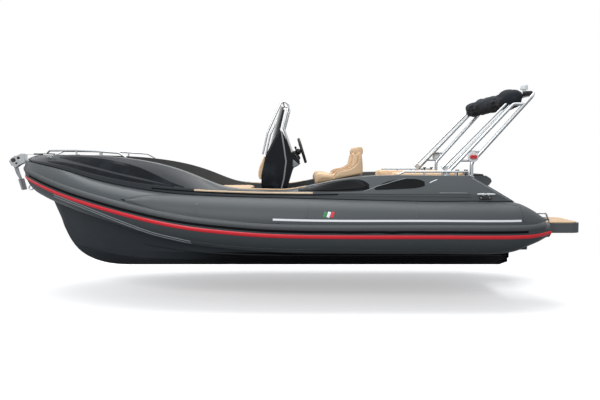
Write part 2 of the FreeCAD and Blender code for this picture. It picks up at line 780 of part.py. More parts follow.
# Console with its trim, dash, windscreen and rail
front_line = [(console_x + 17, floor_top + seat_gap), (console_x + 17, 880), (console_x + 24, 1050),
              (console_x + 72, 1265), (console_x + 224, 1555)]
trim_line = [(console_x + 236, 1520), (console_x + 266, 1330), (console_x + 286, 1190),
             (console_x + 262, 1000), (console_x + 224, 850), (console_x + 224, floor_top + seat_gap)]
dash_line = [(console_x + 346, 1327), (console_x + 452, 1163), (console_x + 382, 1123),
             (console_x + 366, 1093), (console_x + 290, 850), (console_x + 290, floor_top + seat_gap)]
shell = prism(front_line + trim_line, -console_half, console_half)
side_rims = [e for e in shell.Edges if e.BoundBox.YLength < over
             and e.BoundBox.XMin < console_x + 150 and e.BoundBox.XMax < console_x + 230]
keep("console_shell", shell.makeFillet(console_round, side_rims))
trim_aft = [(x + trim_width, h) for x, h in reversed(trim_line)]
trim = prism([(x + seat_gap, h) for x, h in trim_line] + trim_aft, -console_half, console_half)
keep("console_trim", trim)
dash_fore = [(x + trim_width + seat_gap, h) for x, h in trim_line]
dash = prism(list(reversed(dash_fore)) + dash_line, -console_half + over, console_half - over)

slope_x = (front_line[4][0] - front_line[3][0]) / (front_line[4][1] - front_line[3][1])


def on_slope(height):
    """X just before the console's sloping fore face at a height."""
    return front_line[3][0] + (height - front_line[3][1]) * slope_x - seat_gap


def glass_ring(centre, side, inward):
    """Bent strip outline in the plane that holds Y and the inward direction."""
    arcs = []
    for depth in (0, glass_thick):
        shift = inward * depth
        right = side + shift - Vector(0, depth, 0)
        left = Vector(right.x, -right.y, right.z)
        arcs.append(Part.Arc(left, centre + shift, right).toShape())
    outer, inner = arcs
    ends = [Part.makeLine(outer.Vertexes[i].Point, inner.Vertexes[i].Point) for i in (0, 1)]
    return Part.Wire(Part.__sortEdges__([outer, ends[1], inner, ends[0]]))


foot_low, foot_high = front_line[3][1] + 8, front_line[4][1] - 40
foot_centre = Vector(on_slope(foot_low), 0, level(foot_low))
foot_side = Vector(on_slope(foot_high), glass_half, level(foot_high))
top_centre = Vector(console_x + 224, 0, level(1808))
top_side = Vector(console_x + 262, glass_half - 30, level(1790))
rings = [glass_ring(centre, side, Vector(side.x - centre.x, 0, side.z - centre.z).normalize())
         for centre, side in ((foot_centre, foot_side), (top_centre, top_side))]
keep("windscreen", loft(rings, True))
rail_y = console_half + rail_radius + 4
rail_side = [(console_x + 356, 1300), (console_x + 264, 1558), (console_x + 327, 1800),
             (console_x + 257, 1862), (console_x + 92, 1500), (console_x + 41, 1275)]
rail_points = [Vector(x, rail_y, level(h)) for x, h in rail_side]
hoop = pipe(rail_points, rail_radius, 42)
cross_at = Vector(console_x + 257, rail_y, level(1850))
cross = rod(cross_at, cross_at - Vector(0, 2 * rail_y, 0), rail_radius)
feet = [rod(p, p - Vector(0, rail_y - half - seat_gap, 0), rail_radius)
        for p, half in ((rail_points[0], console_half - over), (rail_points[-1], console_half))]
half_rail = hoop.fuse(feet)
keep("windscreen_rail", half_rail.fuse([mirrored(half_rail), cross]))
cushion = prism([(console_x + 90, 990), (console_x + 110, 1250), (console_x + 46, 1250),
                 (console_x + 6, 1135), (console_x - 8, 1080), (console_x - 8, 1020),
                 (console_x + 2, 990)], -console_half + 30, console_half - 30)
keep("console_cushion", tidy(cushion.cut(shell.translated(Vector(-seat_gap, 0, 0)))))

tilt = math.radians(wheel_tilt)
axis = Vector(math.cos(tilt), 0, math.sin(tilt))
wheel_centre = Vector(wheel_x, wheel_y, level(wheel_height))
grip = Part.makeTorus(wheel_radius - wheel_grip, wheel_grip, wheel_centre, axis)
hub = Part.makeCylinder(hub_radius, 46, wheel_centre - axis * 40, axis)
up = Vector(-math.sin(tilt), 0, math.cos(tilt))
side = Vector(0, 1, 0)
spokes = []
for angle in (90, 210, 330):
    turn = math.radians(angle)
    way = side * math.cos(turn) + up * math.sin(turn)
    spokes.append(rod(wheel_centre - axis * 16, wheel_centre + way * (wheel_radius - wheel_grip),
                      spoke_radius))
keep("steering_wheel", grip.fuse([hub] + spokes))
shaft_reach = 105
shaft = Part.makeCylinder(shaft_radius, shaft_reach, wheel_centre - axis * (41 + shaft_reach), axis)
keep("console_dash", dash.fuse(shaft))

# Seats and sofa
def seat_base_top(x):
    return seat_foot + (x - seat_front) * seat_slope


base_end = seat_base_x + seat_base_length
keep("helm_seat_base", prism([(seat_base_x, floor_top + seat_gap), (base_end, floor_top + seat_gap),
                              (base_end, seat_base_top(base_end)),
                              (seat_base_x, seat_base_top(seat_base_x))],
                             -seat_base_half, seat_base_half))


def on_seat(share, height):
    """Point of the seat's side outline, height over its sloping foot."""
    x = seat_front + seat_length * share
    return x, seat_base_top(x) + height


seat_side = [on_seat(0.04, seat_gap), on_seat(0.0, 60), on_seat(0.06, 118), on_seat(0.32, 62),
             on_seat(0.46, 98), on_seat(0.7, 116), on_seat(0.86, 168), on_seat(0.96, 210),
             on_seat(1.0, 250), on_seat(1.0, seat_gap)]
seat = prism(seat_side, seat_y - seat_half, seat_y + seat_half)
hollow_side = [on_seat(0.30, 62), on_seat(0.74, 40), on_seat(0.92, 320), on_seat(0.30, 320)]
hollow = prism(hollow_side, seat_y - seat_half + 70, seat_y + seat_half - 70)
rest = prism([on_seat(0.80, 60), on_seat(0.86, 290), on_seat(0.9, 300), on_seat(1.0, 292),
              on_seat(1.0, 60)], seat_y - seat_half + 70, seat_y + seat_half - 70)
keep_pair("helm_seat", tidy(seat.cut(hollow).fuse(rest)))
sofa_foot = floor_top + seat_gap
keep("sofa_base", box(sofa_x, sofa_back_x + 150, -sofa_half, sofa_half, sofa_foot,
                      sofa_seat_height - sofa_pad))
keep("sofa_seat", box(sofa_x + over, sofa_back_x - seat_gap, -sofa_arm_inner + seat_gap,
                      sofa_arm_inner - seat_gap, sofa_seat_height - sofa_pad + seat_gap,
                      sofa_seat_height))
back_foot = sofa_seat_height - sofa_pad + seat_gap
sofa_back = box(sofa_x, sofa_back_x + 150, -sofa_half, sofa_half, back_foot, sofa_back_top)
sofa_back = sofa_back.cut(box(sofa_x - over, sofa_back_x, -sofa_arm_inner, sofa_arm_inner,
                              back_foot - over, sofa_back_top + over))
keep("sofa_back", sofa_back)

# Roll bar


def bar_point(x, height, y=bar_y):
    return Vector(x, y, level(height))


def coaming_top(x):
    return min(rim_top(x), slant(x) if x > slant_x else rim_top(x))


bar_foot = coaming_top(post_x) + seat_gap
main_hoop = pipe([bar_point(post_x, bar_foot), bar_point(post_x, post_bend),
                  bar_point(bar_top_x, bar_top), bar_point(bar_top_x, bar_top, -bar_y),
                  bar_point(post_x, post_bend, -bar_y), bar_point(post_x, bar_foot, -bar_y)],
                 bar_radius, bar_bend)


def hoop_x(height):
    return post_x + (height - post_bend) * (bar_top_x - post_x) / (bar_top - post_bend)


def brace_x(height):
    return brace_foot_x + (height - coaming_top(brace_foot_x)) * (
        (brace_top_x - brace_foot_x) / (brace_top - coaming_top(brace_foot_x)))


roll_parts = []
for y in (-bar_y, bar_y):
    roll_parts.append(pipe([bar_point(brace_foot_x, coaming_top(brace_foot_x) + bar_radius, y),
                            bar_point(brace_top_x, brace_top, y),
                            bar_point(hoop_x(brace_top), brace_top, y)], strut_radius + over, 40))
    for height in strut_heights:
        roll_parts.append(rod(bar_point(brace_x(height), height, y),
                              bar_point(hoop_x(height), height, y), strut_radius))
    roll_parts.append(Part.makeCylinder(bar_radius + over, bar_radius + over,
                                        bar_point(brace_foot_x, coaming_top(brace_foot_x) + seat_gap, y)))
deck_raised = side_deck.translated(Vector(0, 0, seat_gap))
roll_bar = tidy(main_hoop.fuse(roll_parts).cut([deck_raised, mirrored(deck_raised)]))
keep("roll_bar", roll_bar)

# Bimini: two bows on one foot plate each side, and the folded cover
def bow_hoop(foot_x, top_x, top_height, radius):
    points = [bar_point(foot_x, bow_foot, bow_y), bar_point(top_x, top_height, bow_y),
              bar_point(top_x, top_height, -bow_y), bar_point(foot_x, bow_foot, -bow_y)]
    return pipe(points, radius, 70)


bow_tops = ((pin_x - bow_spread, cover_x - 32, cover_height - 22),
            (pin_x + bow_spread, cover_x + 34, cover_height - 4))
frame_parts = [bow_hoop(a, b, c, bow_radius) for a, b, c in bow_tops]
for y in (-bow_y, bow_y):
    plate = prism([(pin_x - bow_spread - 12, bow_foot + 18), (pin_x + bow_spread + 12, bow_foot + 18),
                   (pin_x + bow_spread, bow_foot - 6), (pin_x + 12, pin_height - 12),
                   (pin_x - 12, pin_height - 12), (pin_x - bow_spread, bow_foot - 6)],
                  y - 5, y + 5)
    pin_hole = Part.makeCylinder(pin_radius + pin_play, 20, bar_point(pin_x, pin_height, y - 10),
                                 Vector(0, 1, 0))
    frame_parts.append(plate.cut(pin_hole))
keep("bimini_frame", frame_parts[0].fuse(frame_parts[1:]))
cover = Part.makeCylinder(cover_radius, 2 * cover_half, bar_point(cover_x, cover_height, -cover_half),
                          Vector(0, 1, 0))
for a, b, c in bow_tops:
    cover = cover.cut(bow_hoop(a, b, c, bow_radius + seat_gap))
keep("bimini_cover", tidy(cover))
hinge_foot = coaming_top(pin_x) + seat_gap
ears = [prism([(pin_x - 22, hinge_foot), (pin_x + 22, hinge_foot), (pin_x + 12, pin_height + 12),
               (pin_x - 12, pin_height + 12)], bow_y + shift - 2, bow_y + shift + 2)
        for shift in (-8, 8)]
pin = Part.makeCylinder(pin_radius, 20, bar_point(pin_x, pin_height, bow_y - 10), Vector(0, 1, 0))
shoe = box(pin_x - 32, pin_x + 32, bow_y - 16, bow_y + 16, hinge_foot, hinge_foot + 4)
keep_twins("bimini_hinges", shoe.fuse(ears + [pin]))

# Rails, cleats, lights and small fittings
def rail_along(places, rise, inset):
    return [rib(x, -brow(x) - inset, coaming_top(x) + rise) for x in places]


rail_xs = [-2900, -2840, -2450, -2150, -1925, -1845]
rail_run = rail_along(rail_xs[1:-1], rail_rise, 16)
ends = rail_along((rail_xs[0], rail_xs[-1]), seat_gap + small_rail, 16)
bow_rail = pipe([ends[0]] + rail_run + [ends[1]], small_rail, 20)
posts = [rod(*rail_along((x,), seat_gap, 16), rail_along((x,), rail_rise, 16)[0], small_rail)
         for x in (-2450, -2150)]
posts += [rod(*rail_along((x,), seat_gap, 16), rail_along((x,), small_rail, 16)[0], small_rail + over)
          for x in (rail_xs[0], rail_xs[-1])]
keep_twins("bow_rails", tidy(bow_rail.fuse(posts).cut(deck_raised)))
stern_xs = [985, 1055, 1380, 1690]
stern_run = rail_along(stern_xs[1:], 40, 14)
stern_run = [rail_along((985,), seat_gap + small_rail, 14)[0]] + stern_run
stern_run.append(rail_along((1700,), seat_gap, 14)[0])
stern_posts = [rod(*rail_along((x,), seat_gap, 14), rail_along((x,), 40, 14)[0], small_rail)
               for x in (1250, 1430, 1570)]
stern_posts.append(rod(*rail_along((985,), seat_gap, 14), rail_along((985,), small_rail, 14)[0],
                       small_rail + over))
keep_twins("stern_rails", tidy(pipe(stern_run, small_rail, 12).fuse(stern_posts).cut(deck_raised)))


def strip_section(x):
    top = rim_top(x) + seat_gap
    ends = (-brow(x) - strip_inset, -wall(x) + strip_inset)
    return polygon([rib(x, ends[0], top), rib(x, ends[0], top + strip_thick),
                    rib(x, ends[1], top + strip_thick), rib(x, ends[1], top)])


strip_places = [strip_start + (strip_end - strip_start) * share for share in (0, 0.2, 0.4, 0.6, 0.8, 1)]
strips = loft([strip_section(x) for x in strip_places])
keep_twins("gunwale_strips", tidy(strips.cut(deck_raised)))

bow_edge = wall_nose - swell(wall_nose)
tongue_half = 38
tongue_top = rim_bow_height + 6
tongue_end = wall_nose + 92
step = box(wall_nose + 12, wall_nose + 190, -90, 90, rim_bow_height + seat_gap, rim_bow_height + 16)
keep("bow_step", step.cut(box(wall_nose, tongue_end + seat_gap, -tongue_half - seat_gap,
                              tongue_half + seat_gap, rim_bow_height, tongue_top + seat_gap)))
cheek_side = [(bow_edge - 4, rim_bow_height + 2), (bow_edge - 40, rim_bow_height + 16),
              (bow_edge - 92, rim_bow_height - 8), (bow_edge - 150, rim_bow_height - 30),
              (bow_edge - 182, rim_bow_height - 72), (bow_edge - 160, rim_bow_height - 118),
              (bow_edge - 112, rim_bow_height - 144), (bow_edge - 66, rim_bow_height - 112),
              (bow_edge - 4, rim_bow_height - 84)]
nose_face = bow_edge - seat_gap
cheeks = [prism(cheek_side, y - 2, y + 2) for y in (-tongue_half, tongue_half)]
web = prism([(nose_face - 6, tongue_top), (nose_face, tongue_top), (nose_face, rim_bow_height - 90),
             (nose_face - 6, rim_bow_height - 90)], -tongue_half, tongue_half)
tongue = box(nose_face - 6, tongue_end, -tongue_half, tongue_half, rim_bow_height + seat_gap, tongue_top)
roller_radius = 30
roller_at = Vector(bow_edge - 122, 0, level(rim_bow_height - 92))
roller = Part.makeCylinder(roller_radius, 72, roller_at - Vector(0, 36, 0), Vector(0, 1, 0))
pins = Part.makeCylinder(6, 84, roller_at - Vector(0, 42, 0), Vector(0, 1, 0))
keep("bow_roller", cheeks[0].fuse([cheeks[1], web, tongue, roller, pins]))
shank = prism([(bow_edge - 150, rim_bow_height - 112), (bow_edge - 104, rim_bow_height - 98),
               (bow_edge - 84, rim_bow_height - 190), (bow_edge - 50, rim_bow_height - 288),
               (bow_edge - 70, rim_bow_height - 294), (bow_edge - 118, rim_bow_height - 212)], -9, 9)
shank = tidy(shank.cut(Part.makeCylinder(roller_radius + seat_gap, 72, roller_at - Vector(0, 36, 0),
                                         Vector(0, 1, 0))))
fluke = prism([(bow_edge - 76, rim_bow_height - 276), (bow_edge - 54, rim_bow_height - 270),
               (bow_edge - 22, rim_bow_height - 396), (bow_edge - 38, rim_bow_height - 400)], -60, 60)
keep("anchor", shank.fuse(fluke))


def cleat(centre, along, up_way):
    """Horn cleat standing on a face."""
    across = up_way.cross(along).normalize()
    base = Part.makeCylinder(13, 26, centre - along * 26, up_way)
    base = base.fuse(Part.makeCylinder(13, 26, centre + along * 26, up_way))
    bar = Part.makeCylinder(8, 176, centre - along * 88 + up_way * 30, along)
    return bar.fuse(base)


def cleat_on_face(x, share):
    centre = face_point(x, share, seat_gap)
    along = (face_point(x + 40, share) - face_point(x - 40, share)).normalize()
    outward = face_point(x, share, 10) - face_point(x, share)
    up_way = (outward - along * outward.dot(along)).normalize()
    return cleat(centre, along, up_way)


keep_twins("deck_cleats", cleat_on_face(-2735, 0.55), cleat_on_face(1845, 0.01))
eye_radius = 24
eye_bar = 6
eye_height = rim_bow_height - 356
ux, uz, nose_radius = flank_circle(wall_nose)
nose_way = Vector(ux - skin(wall_nose, eye_height), 0, eye_height - uz).normalize()
eye_at = Vector(wall_nose - skin(wall_nose, eye_height), 0, level(eye_height))
eye_at += nose_way * (eye_radius + eye_bar + seat_gap)
keep("bow_eye", Part.makeTorus(eye_radius, eye_bar, eye_at, Vector(0, 1, 0)))
light_x, light_height = brace_x(1237) + 85, 1237
for name, y in (("nav_light_starboard", bar_y), ("nav_light_port", -bar_y)):
    side_way = 1 if y > 0 else -1
    base = Part.makeCylinder(38, 8, Vector(light_x, y + side_way * (strut_radius + 2), level(light_height)),
                             Vector(0, side_way, 0))
    lenses = [Part.makeCylinder(20, 26, Vector(light_x + shift, y + side_way * (strut_radius + 10),
                                               level(light_height)), Vector(0, side_way, 0))
              for shift in (-15, 15)]
    keep(name, tidy(base.fuse(lenses).cut(roll_bar)))
dome_at = Vector(bar_top_x, -550, level(bar_top) + bar_radius + seat_gap)
keep("anchor_light", Part.makeCylinder(18, 46, dome_at).fuse(
    [Part.makeCylinder(40, 30, dome_at + Vector(0, 0, 46)),
     Part.makeSphere(40, dome_at + Vector(0, 0, 76), Vector(0, 0, 1), 0, 90, 360)]))
knobs = []
for x in (1592, 1680):
    foot = Vector(x, bar_y + 4, level(coaming_top(x) + seat_gap))
    knobs.append(Part.makeCylinder(7, 48, foot).fuse(Part.makeCylinder(20, 12, foot + Vector(0, 0, 48))))
keep_twins("lock_knobs", *knobs)

os.makedirs("parts", exist_ok=True)
for name, shape in nodes.items():
    print(name, shape.isValid(), len(shape.Solids), round(shape.Volume / 1e6, 2))
    shape.exportStep("parts/" + name + ".step")
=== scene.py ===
import bmesh as mesh_tools
import bpy
import math
import numpy as np
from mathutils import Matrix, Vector
from mathutils.bvhtree import BVHTree


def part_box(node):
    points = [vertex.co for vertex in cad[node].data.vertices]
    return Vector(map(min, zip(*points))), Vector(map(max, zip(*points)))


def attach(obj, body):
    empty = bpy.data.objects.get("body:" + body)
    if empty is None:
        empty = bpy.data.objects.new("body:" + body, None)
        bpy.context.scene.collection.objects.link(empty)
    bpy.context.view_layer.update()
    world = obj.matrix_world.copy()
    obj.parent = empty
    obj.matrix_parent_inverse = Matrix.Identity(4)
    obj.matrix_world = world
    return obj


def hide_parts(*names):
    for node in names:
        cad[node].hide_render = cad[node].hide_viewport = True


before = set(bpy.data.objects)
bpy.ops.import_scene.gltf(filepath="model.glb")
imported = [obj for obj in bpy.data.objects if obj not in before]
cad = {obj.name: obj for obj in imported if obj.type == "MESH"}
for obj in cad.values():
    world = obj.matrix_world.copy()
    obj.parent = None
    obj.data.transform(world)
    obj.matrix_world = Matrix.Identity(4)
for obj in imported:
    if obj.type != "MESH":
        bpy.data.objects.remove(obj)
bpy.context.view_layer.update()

# The studio: a plain pale floor some way under the keel, an even sky of soft light, one wide
# lamp overhead and a smaller one by the camera, which looks on from the port side.


def paint(red, green, blue):
    """Linear colour of a display colour given in steps of 255."""
    return tuple(v / 255 / 12.92 if v < 10 else ((v / 255 + 0.055) / 1.055) ** 2.4
                 for v in (red, green, blue))


class Signal:
    """A shader value in sums: a * 2 + b adds the Math nodes that work it out."""

    def __init__(self, finish, socket):
        self.finish = finish
        self.socket = socket

    def math(self, operation, other):
        return self.finish.node("ShaderNodeMath", {0: self, 1: other}, operation=operation)

    def __add__(self, other):
        return self.math("ADD", other)

    def __sub__(self, other):
        return self.math("SUBTRACT", other)

    def __mul__(self, other):
        return self.math("MULTIPLY", other)

    def step(self, low, high):
        """Rises smoothly from 0 at low to 1 at high."""
        return self.finish.node("ShaderNodeMapRange", {0: self, 1: low, 2: high},
                                interpolation_type="SMOOTHSTEP")


class Finish:
    """A material in the making: its nodes and its one Principled shader. Colours are given as a
    display shows them, in steps of 255."""

    def __init__(self, name, colour=None, **sockets):
        self.material = bpy.data.materials.new(name)
        self.material.use_nodes = True
        self.tree = self.material.node_tree
        self.shader = self.tree.nodes["Principled BSDF"]
        if colour:
            self.set("Base Color", (*paint(*colour), 1))
        for key, value in sockets.items():
            self.set(key.replace("_", " "), value)

    def feed(self, socket, value):
        if isinstance(value, Signal):
            self.tree.links.new(value.socket, socket)
        else:
            socket.default_value = value

    def set(self, name, value):
        self.feed(self.shader.inputs[name], value)
        return self

    def node(self, kind, sockets=(), out=0, **settings):
        """New node with its settings and sockets, as the Signal that comes out of it."""
        made = self.tree.nodes.new(kind)
        for key, value in settings.items():
            setattr(made, key, value)
        for key, value in dict(sockets).items():
            self.feed(made.inputs[key], value)
        return Signal(self, made.outputs[out])

    def place(self, scale=(1, 1, 1)):
        """Place on the piece in metres, stretched for a pattern."""
        at = self.node("ShaderNodeTexCoord", out=3)
        return self.node("ShaderNodeMapping", {0: at, 3: scale})

    def axis(self, index):
        return self.node("ShaderNodeSeparateXYZ", {0: self.place()}, out=index)

    def noise(self, scale, detail=3.0, at=None):
        return self.node("ShaderNodeTexNoise", {0: at or self.place(), "Scale": scale,
                                                "Detail": detail})

    def tint(self, share, first, second):
        """Colour that goes from first to second with share."""
        first, second = (c if isinstance(c, Signal) else (*paint(*c), 1) for c in (first, second))
        return self.node("ShaderNodeMix", {0: share, 6: first, 7: second}, 2, data_type="RGBA")

    def shade(self, share, first, second):
        """Base colour that goes from first to second with share."""
        return self.set("Base Color", self.tint(share, first, second))

    def mottle(self, scale, first, second):
        """Base colour in patches between first and second."""
        return self.shade(self.noise(scale), first, second)

    def wear(self, scale, spread, low):
        """Roughness in patches, from low up by spread."""
        return self.set("Roughness", self.noise(scale) * spread + low)

    def bump(self, height, distance, strength=1.0):
        return self.set("Normal", self.node("ShaderNodeBump", {
            "Height": height, "Strength": strength, "Distance": distance}))

    def grain(self, scale, depth, detail=3.0, strength=1.0):
        """Relief of noise, as deep as depth."""
        return self.bump(self.noise(scale, detail), depth, strength)


floor_height = -0.65
floor_reach = 40
shade_reach, white_reach = 2.3, 4.2
camera_distance = 7.69
camera_height = 0.866
camera_fall = 3.58
scene = bpy.context.scene
scene.view_settings.view_transform = "Standard"
camera_data = bpy.data.cameras.new("camera")
camera_data.lens = 40.26
camera_data.sensor_width = 36
camera = bpy.data.objects.new("camera", camera_data)
camera.location = (0, -camera_distance, camera_height)
camera.rotation_euler = (math.radians(90 - camera_fall), 0, 0)
scene.collection.objects.link(camera)
scene.camera = camera


def seen_directly(tree, *others):
    """Share that is 1 for what the camera shows, straight or by the other kinds of ray."""
    path = tree.nodes.new("ShaderNodeLightPath")
    share = path.outputs["Is Camera Ray"]
    for name in others:
        either = tree.nodes.new("ShaderNodeMath")
        either.operation = "MAXIMUM"
        tree.links.new(share, either.inputs[0])
        tree.links.new(path.outputs[name], either.inputs[1])
        share = either.outputs[0]
    return share


def even(tree, kind, **values):
    """New shader of one even colour or strength."""
    made = tree.nodes.new("ShaderNode" + kind)
    for name, value in values.items():
        made.inputs[name].default_value = value
    return made.outputs[0]


def joined(tree, kind, *parts):
    """Mix of shaders, from the second part to the third with the first, or the sum of two."""
    made = tree.nodes.new(kind)
    for socket, part in zip(made.inputs, parts):
        tree.links.new(part, socket)
    return made.outputs[0]


world = bpy.data.worlds.new("studio")
scene.world = world
world.use_nodes = True
sky = world.node_tree
room = sky.nodes["Background"]
room.inputs["Color"].default_value = (0.93, 0.96, 1.0, 1)
room.inputs["Strength"].default_value = 0.5
white = even(sky, "Background", Color=(1, 1, 1, 1), Strength=1.0)
shown = joined(sky, "ShaderNodeMixShader",
               seen_directly(sky, "Is Glossy Ray", "Is Transmission Ray"), room.outputs[0], white)
sky.links.new(shown, sky.nodes["World Output"].inputs[0])

floor_finish = Finish("floor", Roughness=0.9).set("Base Color", (0.30, 0.31, 0.32, 1))
tree = floor_finish.tree
matt = joined(tree, "ShaderNodeAddShader", even(tree, "Emission", Strength=0.42),
              even(tree, "BsdfDiffuse", Color=(0.92, 0.92, 0.92, 1)))
from_middle = floor_finish.node("ShaderNodeVectorMath", {0: floor_finish.place((0.62, 1, 1))},
                                out=1, operation="LENGTH")
fade = joined(tree, "ShaderNodeMixShader", from_middle.step(shade_reach, white_reach).socket,
              matt, even(tree, "Emission"))
shown = joined(tree, "ShaderNodeMixShader", seen_directly(tree, "Is Transmission Ray"),
               floor_finish.shader.outputs[0], fade)
tree.links.new(shown, tree.nodes["Material Output"].inputs[0])
floor_mesh = bpy.data.meshes.new("floor")
floor_mesh.from_pydata([(x * floor_reach, y * floor_reach, floor_height)
                        for x, y in ((-1, -1), (1, -1), (1, 1), (-1, 1))], [], [(0, 1, 2, 3)])
floor_mesh.materials.append(floor_finish.material)
floor = bpy.data.objects.new("floor", floor_mesh)
scene.collection.objects.link(floor)


def lamp(name, at, aim, size, power):
    data = bpy.data.lights.new(name, "AREA")
    data.shape = "RECTANGLE"
    data.size, data.size_y = size
    data.energy = power
    light = bpy.data.objects.new(name, data)
    light.location = at
    light.rotation_euler = (Vector(aim) - Vector(at)).to_track_quat("-Z", "Y").to_euler()
    scene.collection.objects.link(light)


lamp("overhead", (0, 0.3, 5.6), (0, 0, 0), (10, 5), 430)
lamp("front", (-2.5, -8.5, 4.2), (0, 0, 0.4), (6, 3), 360)

# The hull: a deep-V moulding of glass fibre under dark grey gelcoat, laid up in one mould. Aft and
# below its chines its colour is painted nearly black as shade, and its gloss shows the long
# waviness that a mould leaves.


def dress(finish, *names):
    """Gives CAD nodes their finish."""
    for name in names:
        for held in cad[name].material_slots:
            held.material = finish.material


side_grey = (62, 67, 71)
chine_shade_black = (4, 6, 10)
keel_shade_black = (8, 11, 15)
gelcoat = Finish("hull_gelcoat", IOR=1.45, Specular_IOR_Level=0.08)
height = gelcoat.axis(2)
breadth = gelcoat.axis(1)
chine_line = height - breadth * breadth * 0.05 + gelcoat.noise(1.3, 2.0) * 0.01
above = chine_line.step(-0.135, -0.115)
# Painted shade: below the chines the colour goes nearly black aft, and stays grey at the forefoot,
# where light reaches.
bottom_shade = gelcoat.tint(height.step(-0.33, -0.22), keel_shade_black, chine_shade_black)
bottom_shade_aft = gelcoat.tint(gelcoat.axis(0).step(-1.9, -0.5), side_grey, bottom_shade)
gelcoat.shade(above, bottom_shade_aft, side_grey)
gelcoat.set("Roughness", gelcoat.noise(6.0) * 0.12 + 0.62 - above * 0.36)
gelcoat.grain(2.2, 0.002, 1.0)
dress(gelcoat, "hull")


def add_piece(name, mesh, finish, body="boat"):
    """New smooth piece with its finish, riding on its body."""
    mesh.materials.clear()
    mesh.materials.append(finish.material)
    mesh.shade_smooth()
    piece = bpy.data.objects.new(name, mesh)
    scene.collection.objects.link(piece)
    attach(piece, body)
    return piece


def ring_faces(rows, columns, lids=True):
    """Faces over a grid of points whose rows close on themselves, with the end rows as lids."""
    row = np.arange(rows - 1)[:, None] * columns
    column = np.arange(columns)[None, :]
    after = (column + 1) % columns
    faces = np.stack([row + column, row + after, row + columns + after, row + columns + column], -1)
    faces = faces.reshape(-1, 4).tolist()
    if lids:
        faces += [list(range(columns))[::-1], list(range((rows - 1) * columns, rows * columns))]
    return faces


def skin(name, grid, lids=True, faces=None):
    """Mesh over a grid of points with its faces pointing outwards. Without lids its two end rows
    lie on each other and are merged."""
    mesh = bpy.data.meshes.new(name)
    mesh.from_pydata(grid.reshape(-1, 3).tolist(), [], faces or ring_faces(*grid.shape[:2], lids))
    made = mesh_tools.new()
    made.from_mesh(mesh)
    if not lids:
        mesh_tools.ops.remove_doubles(made, verts=made.verts, dist=1e-6)
    mesh_tools.ops.recalc_face_normals(made, faces=made.faces)
    made.to_mesh(mesh)
    made.free()
    return mesh


def read(mesh, what="co"):
    """Places of a mesh's points, or their normals."""
    values = np.zeros(len(mesh.vertices) * 3, np.float32)
    mesh.vertices.foreach_get(what, values)
    return values.reshape(-1, 3).astype(float)


def finely(points, count):
    """Points evenly along a smooth curve through a few: Catmull-Rom, worked as arrays."""
    points = np.array(points, float)
    padded = np.concatenate([2 * points[:1] - points[1:2], points, 2 * points[-1:] - points[-2:-1]])
    place = np.linspace(0, len(points) - 1, count)
    i = np.minimum(place.astype(int), len(points) - 2)
    t = (place - i)[:, None]
    a, b, c, d = padded[i], padded[i + 1], padded[i + 2], padded[i + 3]
    return 0.5 * (2 * b + (c - a) * t + (2 * a - 5 * b + 4 * c - d) * t ** 2
                  + (3 * b - a - 3 * c + d) * t ** 3)


def points_along(route, pitch):
    """How many points stand a pitch apart along a route."""
    return int(np.linalg.norm(np.diff(route, axis=0), axis=1).sum() / pitch)


def faces_of(*names):
    """Search tree over the faces of CAD nodes."""
    points, faces = [], []
    for name in names:
        mesh = cad[name].data
        start = len(points)
        points += [v.co.copy() for v in mesh.vertices]
        faces += [[start + i for i in p.vertices] for p in mesh.polygons]
    return BVHTree.FromPolygons(points, faces)


sides = {-1: "port", 1: "starboard"}
outside = 1.7


def struck(on, side, x, z):
    """Where a ray from outside the boat, straight in along Y, meets the faces, and their slope."""
    return on.ray_cast(Vector((x, side * outside, z)), Vector((0, -side, 0)))


def laid(name, route, width, rise, on, finish, side, count=None, sink=0.002, flat=0.72):
    """Strip laid on a moulding's side: each point of the route, in X and Z, goes straight in along
    Y to the face. The profile square to the route is flat, with rounded shoulders, and sunk."""
    places = finely(route, count or max(8, points_along(route, 0.03)))
    hits = [h for h in (struck(on, side, x, z) for x, z in places) if h[0]]
    points = np.array([h[0] for h in hits])
    out = np.array([h[1] for h in hits])
    out *= np.sign(out[:, 1:2] * side + 1e-9)
    out[1:-1] = (out[:-2] + out[1:-1] + out[2:]) / 3
    across = np.cross(out, np.gradient(points, axis=0))
    across /= np.linalg.norm(across, axis=1, keepdims=True)
    profile = np.array([(-1, -sink), (-1, rise * 0.3), (-flat, rise), (flat, rise), (1, rise * 0.3),
                        (1, -sink)])
    grid = (points[:, None] + across[:, None] * profile[None, :, :1] * width / 2
            + out[:, None] * profile[None, :, 1:])
    name += "_" + sides[side]
    return add_piece(name, skin(name, grid), finish)


hull_skin = faces_of("hull")
chine_route = [(-1.62, -0.03), (-1.2, -0.075), (-0.7, -0.105), (0, -0.118), (0.9, -0.12),
               (2.05, -0.12)]
chine_band = Finish("chine_rubber", (13, 15, 18), Roughness=0.4).grain(60.0, 0.0004)
for side in sides:
    laid("chine_band", chine_route, 0.016, 0.004, hull_skin, chine_band, side)

# The rigid belt: a grey moulding from the nose to the stern with a double line along its lower
# border, a painted highlight forward and painted shade aft, and a black groove between the red
# stripe and the strake.
flank = Finish("flank_gelcoat", Specular_IOR_Level=0.25)
# Painted light from above: the belt's colour grows lighter towards its top.
lit_top_share = (flank.axis(2) + flank.noise(1.5, 2.0) * 0.05).step(0.0, 0.75)
flank.shade(lit_top_share, (66, 72, 75), (76, 81, 84)).wear(7.0, 0.12, 0.24).grain(2.6, 0.0012, 1.0)
dress(flank, "flank_moulding_starboard", "flank_moulding_port")
red = Finish("red_stripe", Roughness=0.35)
red.shade(red.noise(14.0) * 0.35, (226, 34, 50), (208, 30, 45)).grain(120.0, 0.0003)
dress(red, "red_stripes")
rubber = Finish("rub_rubber", Roughness=0.55)
rubber.mottle(20.0, (68, 72, 75), (80, 84, 87)).grain(180.0, 0.0005)
dress(rubber, "rub_strakes")
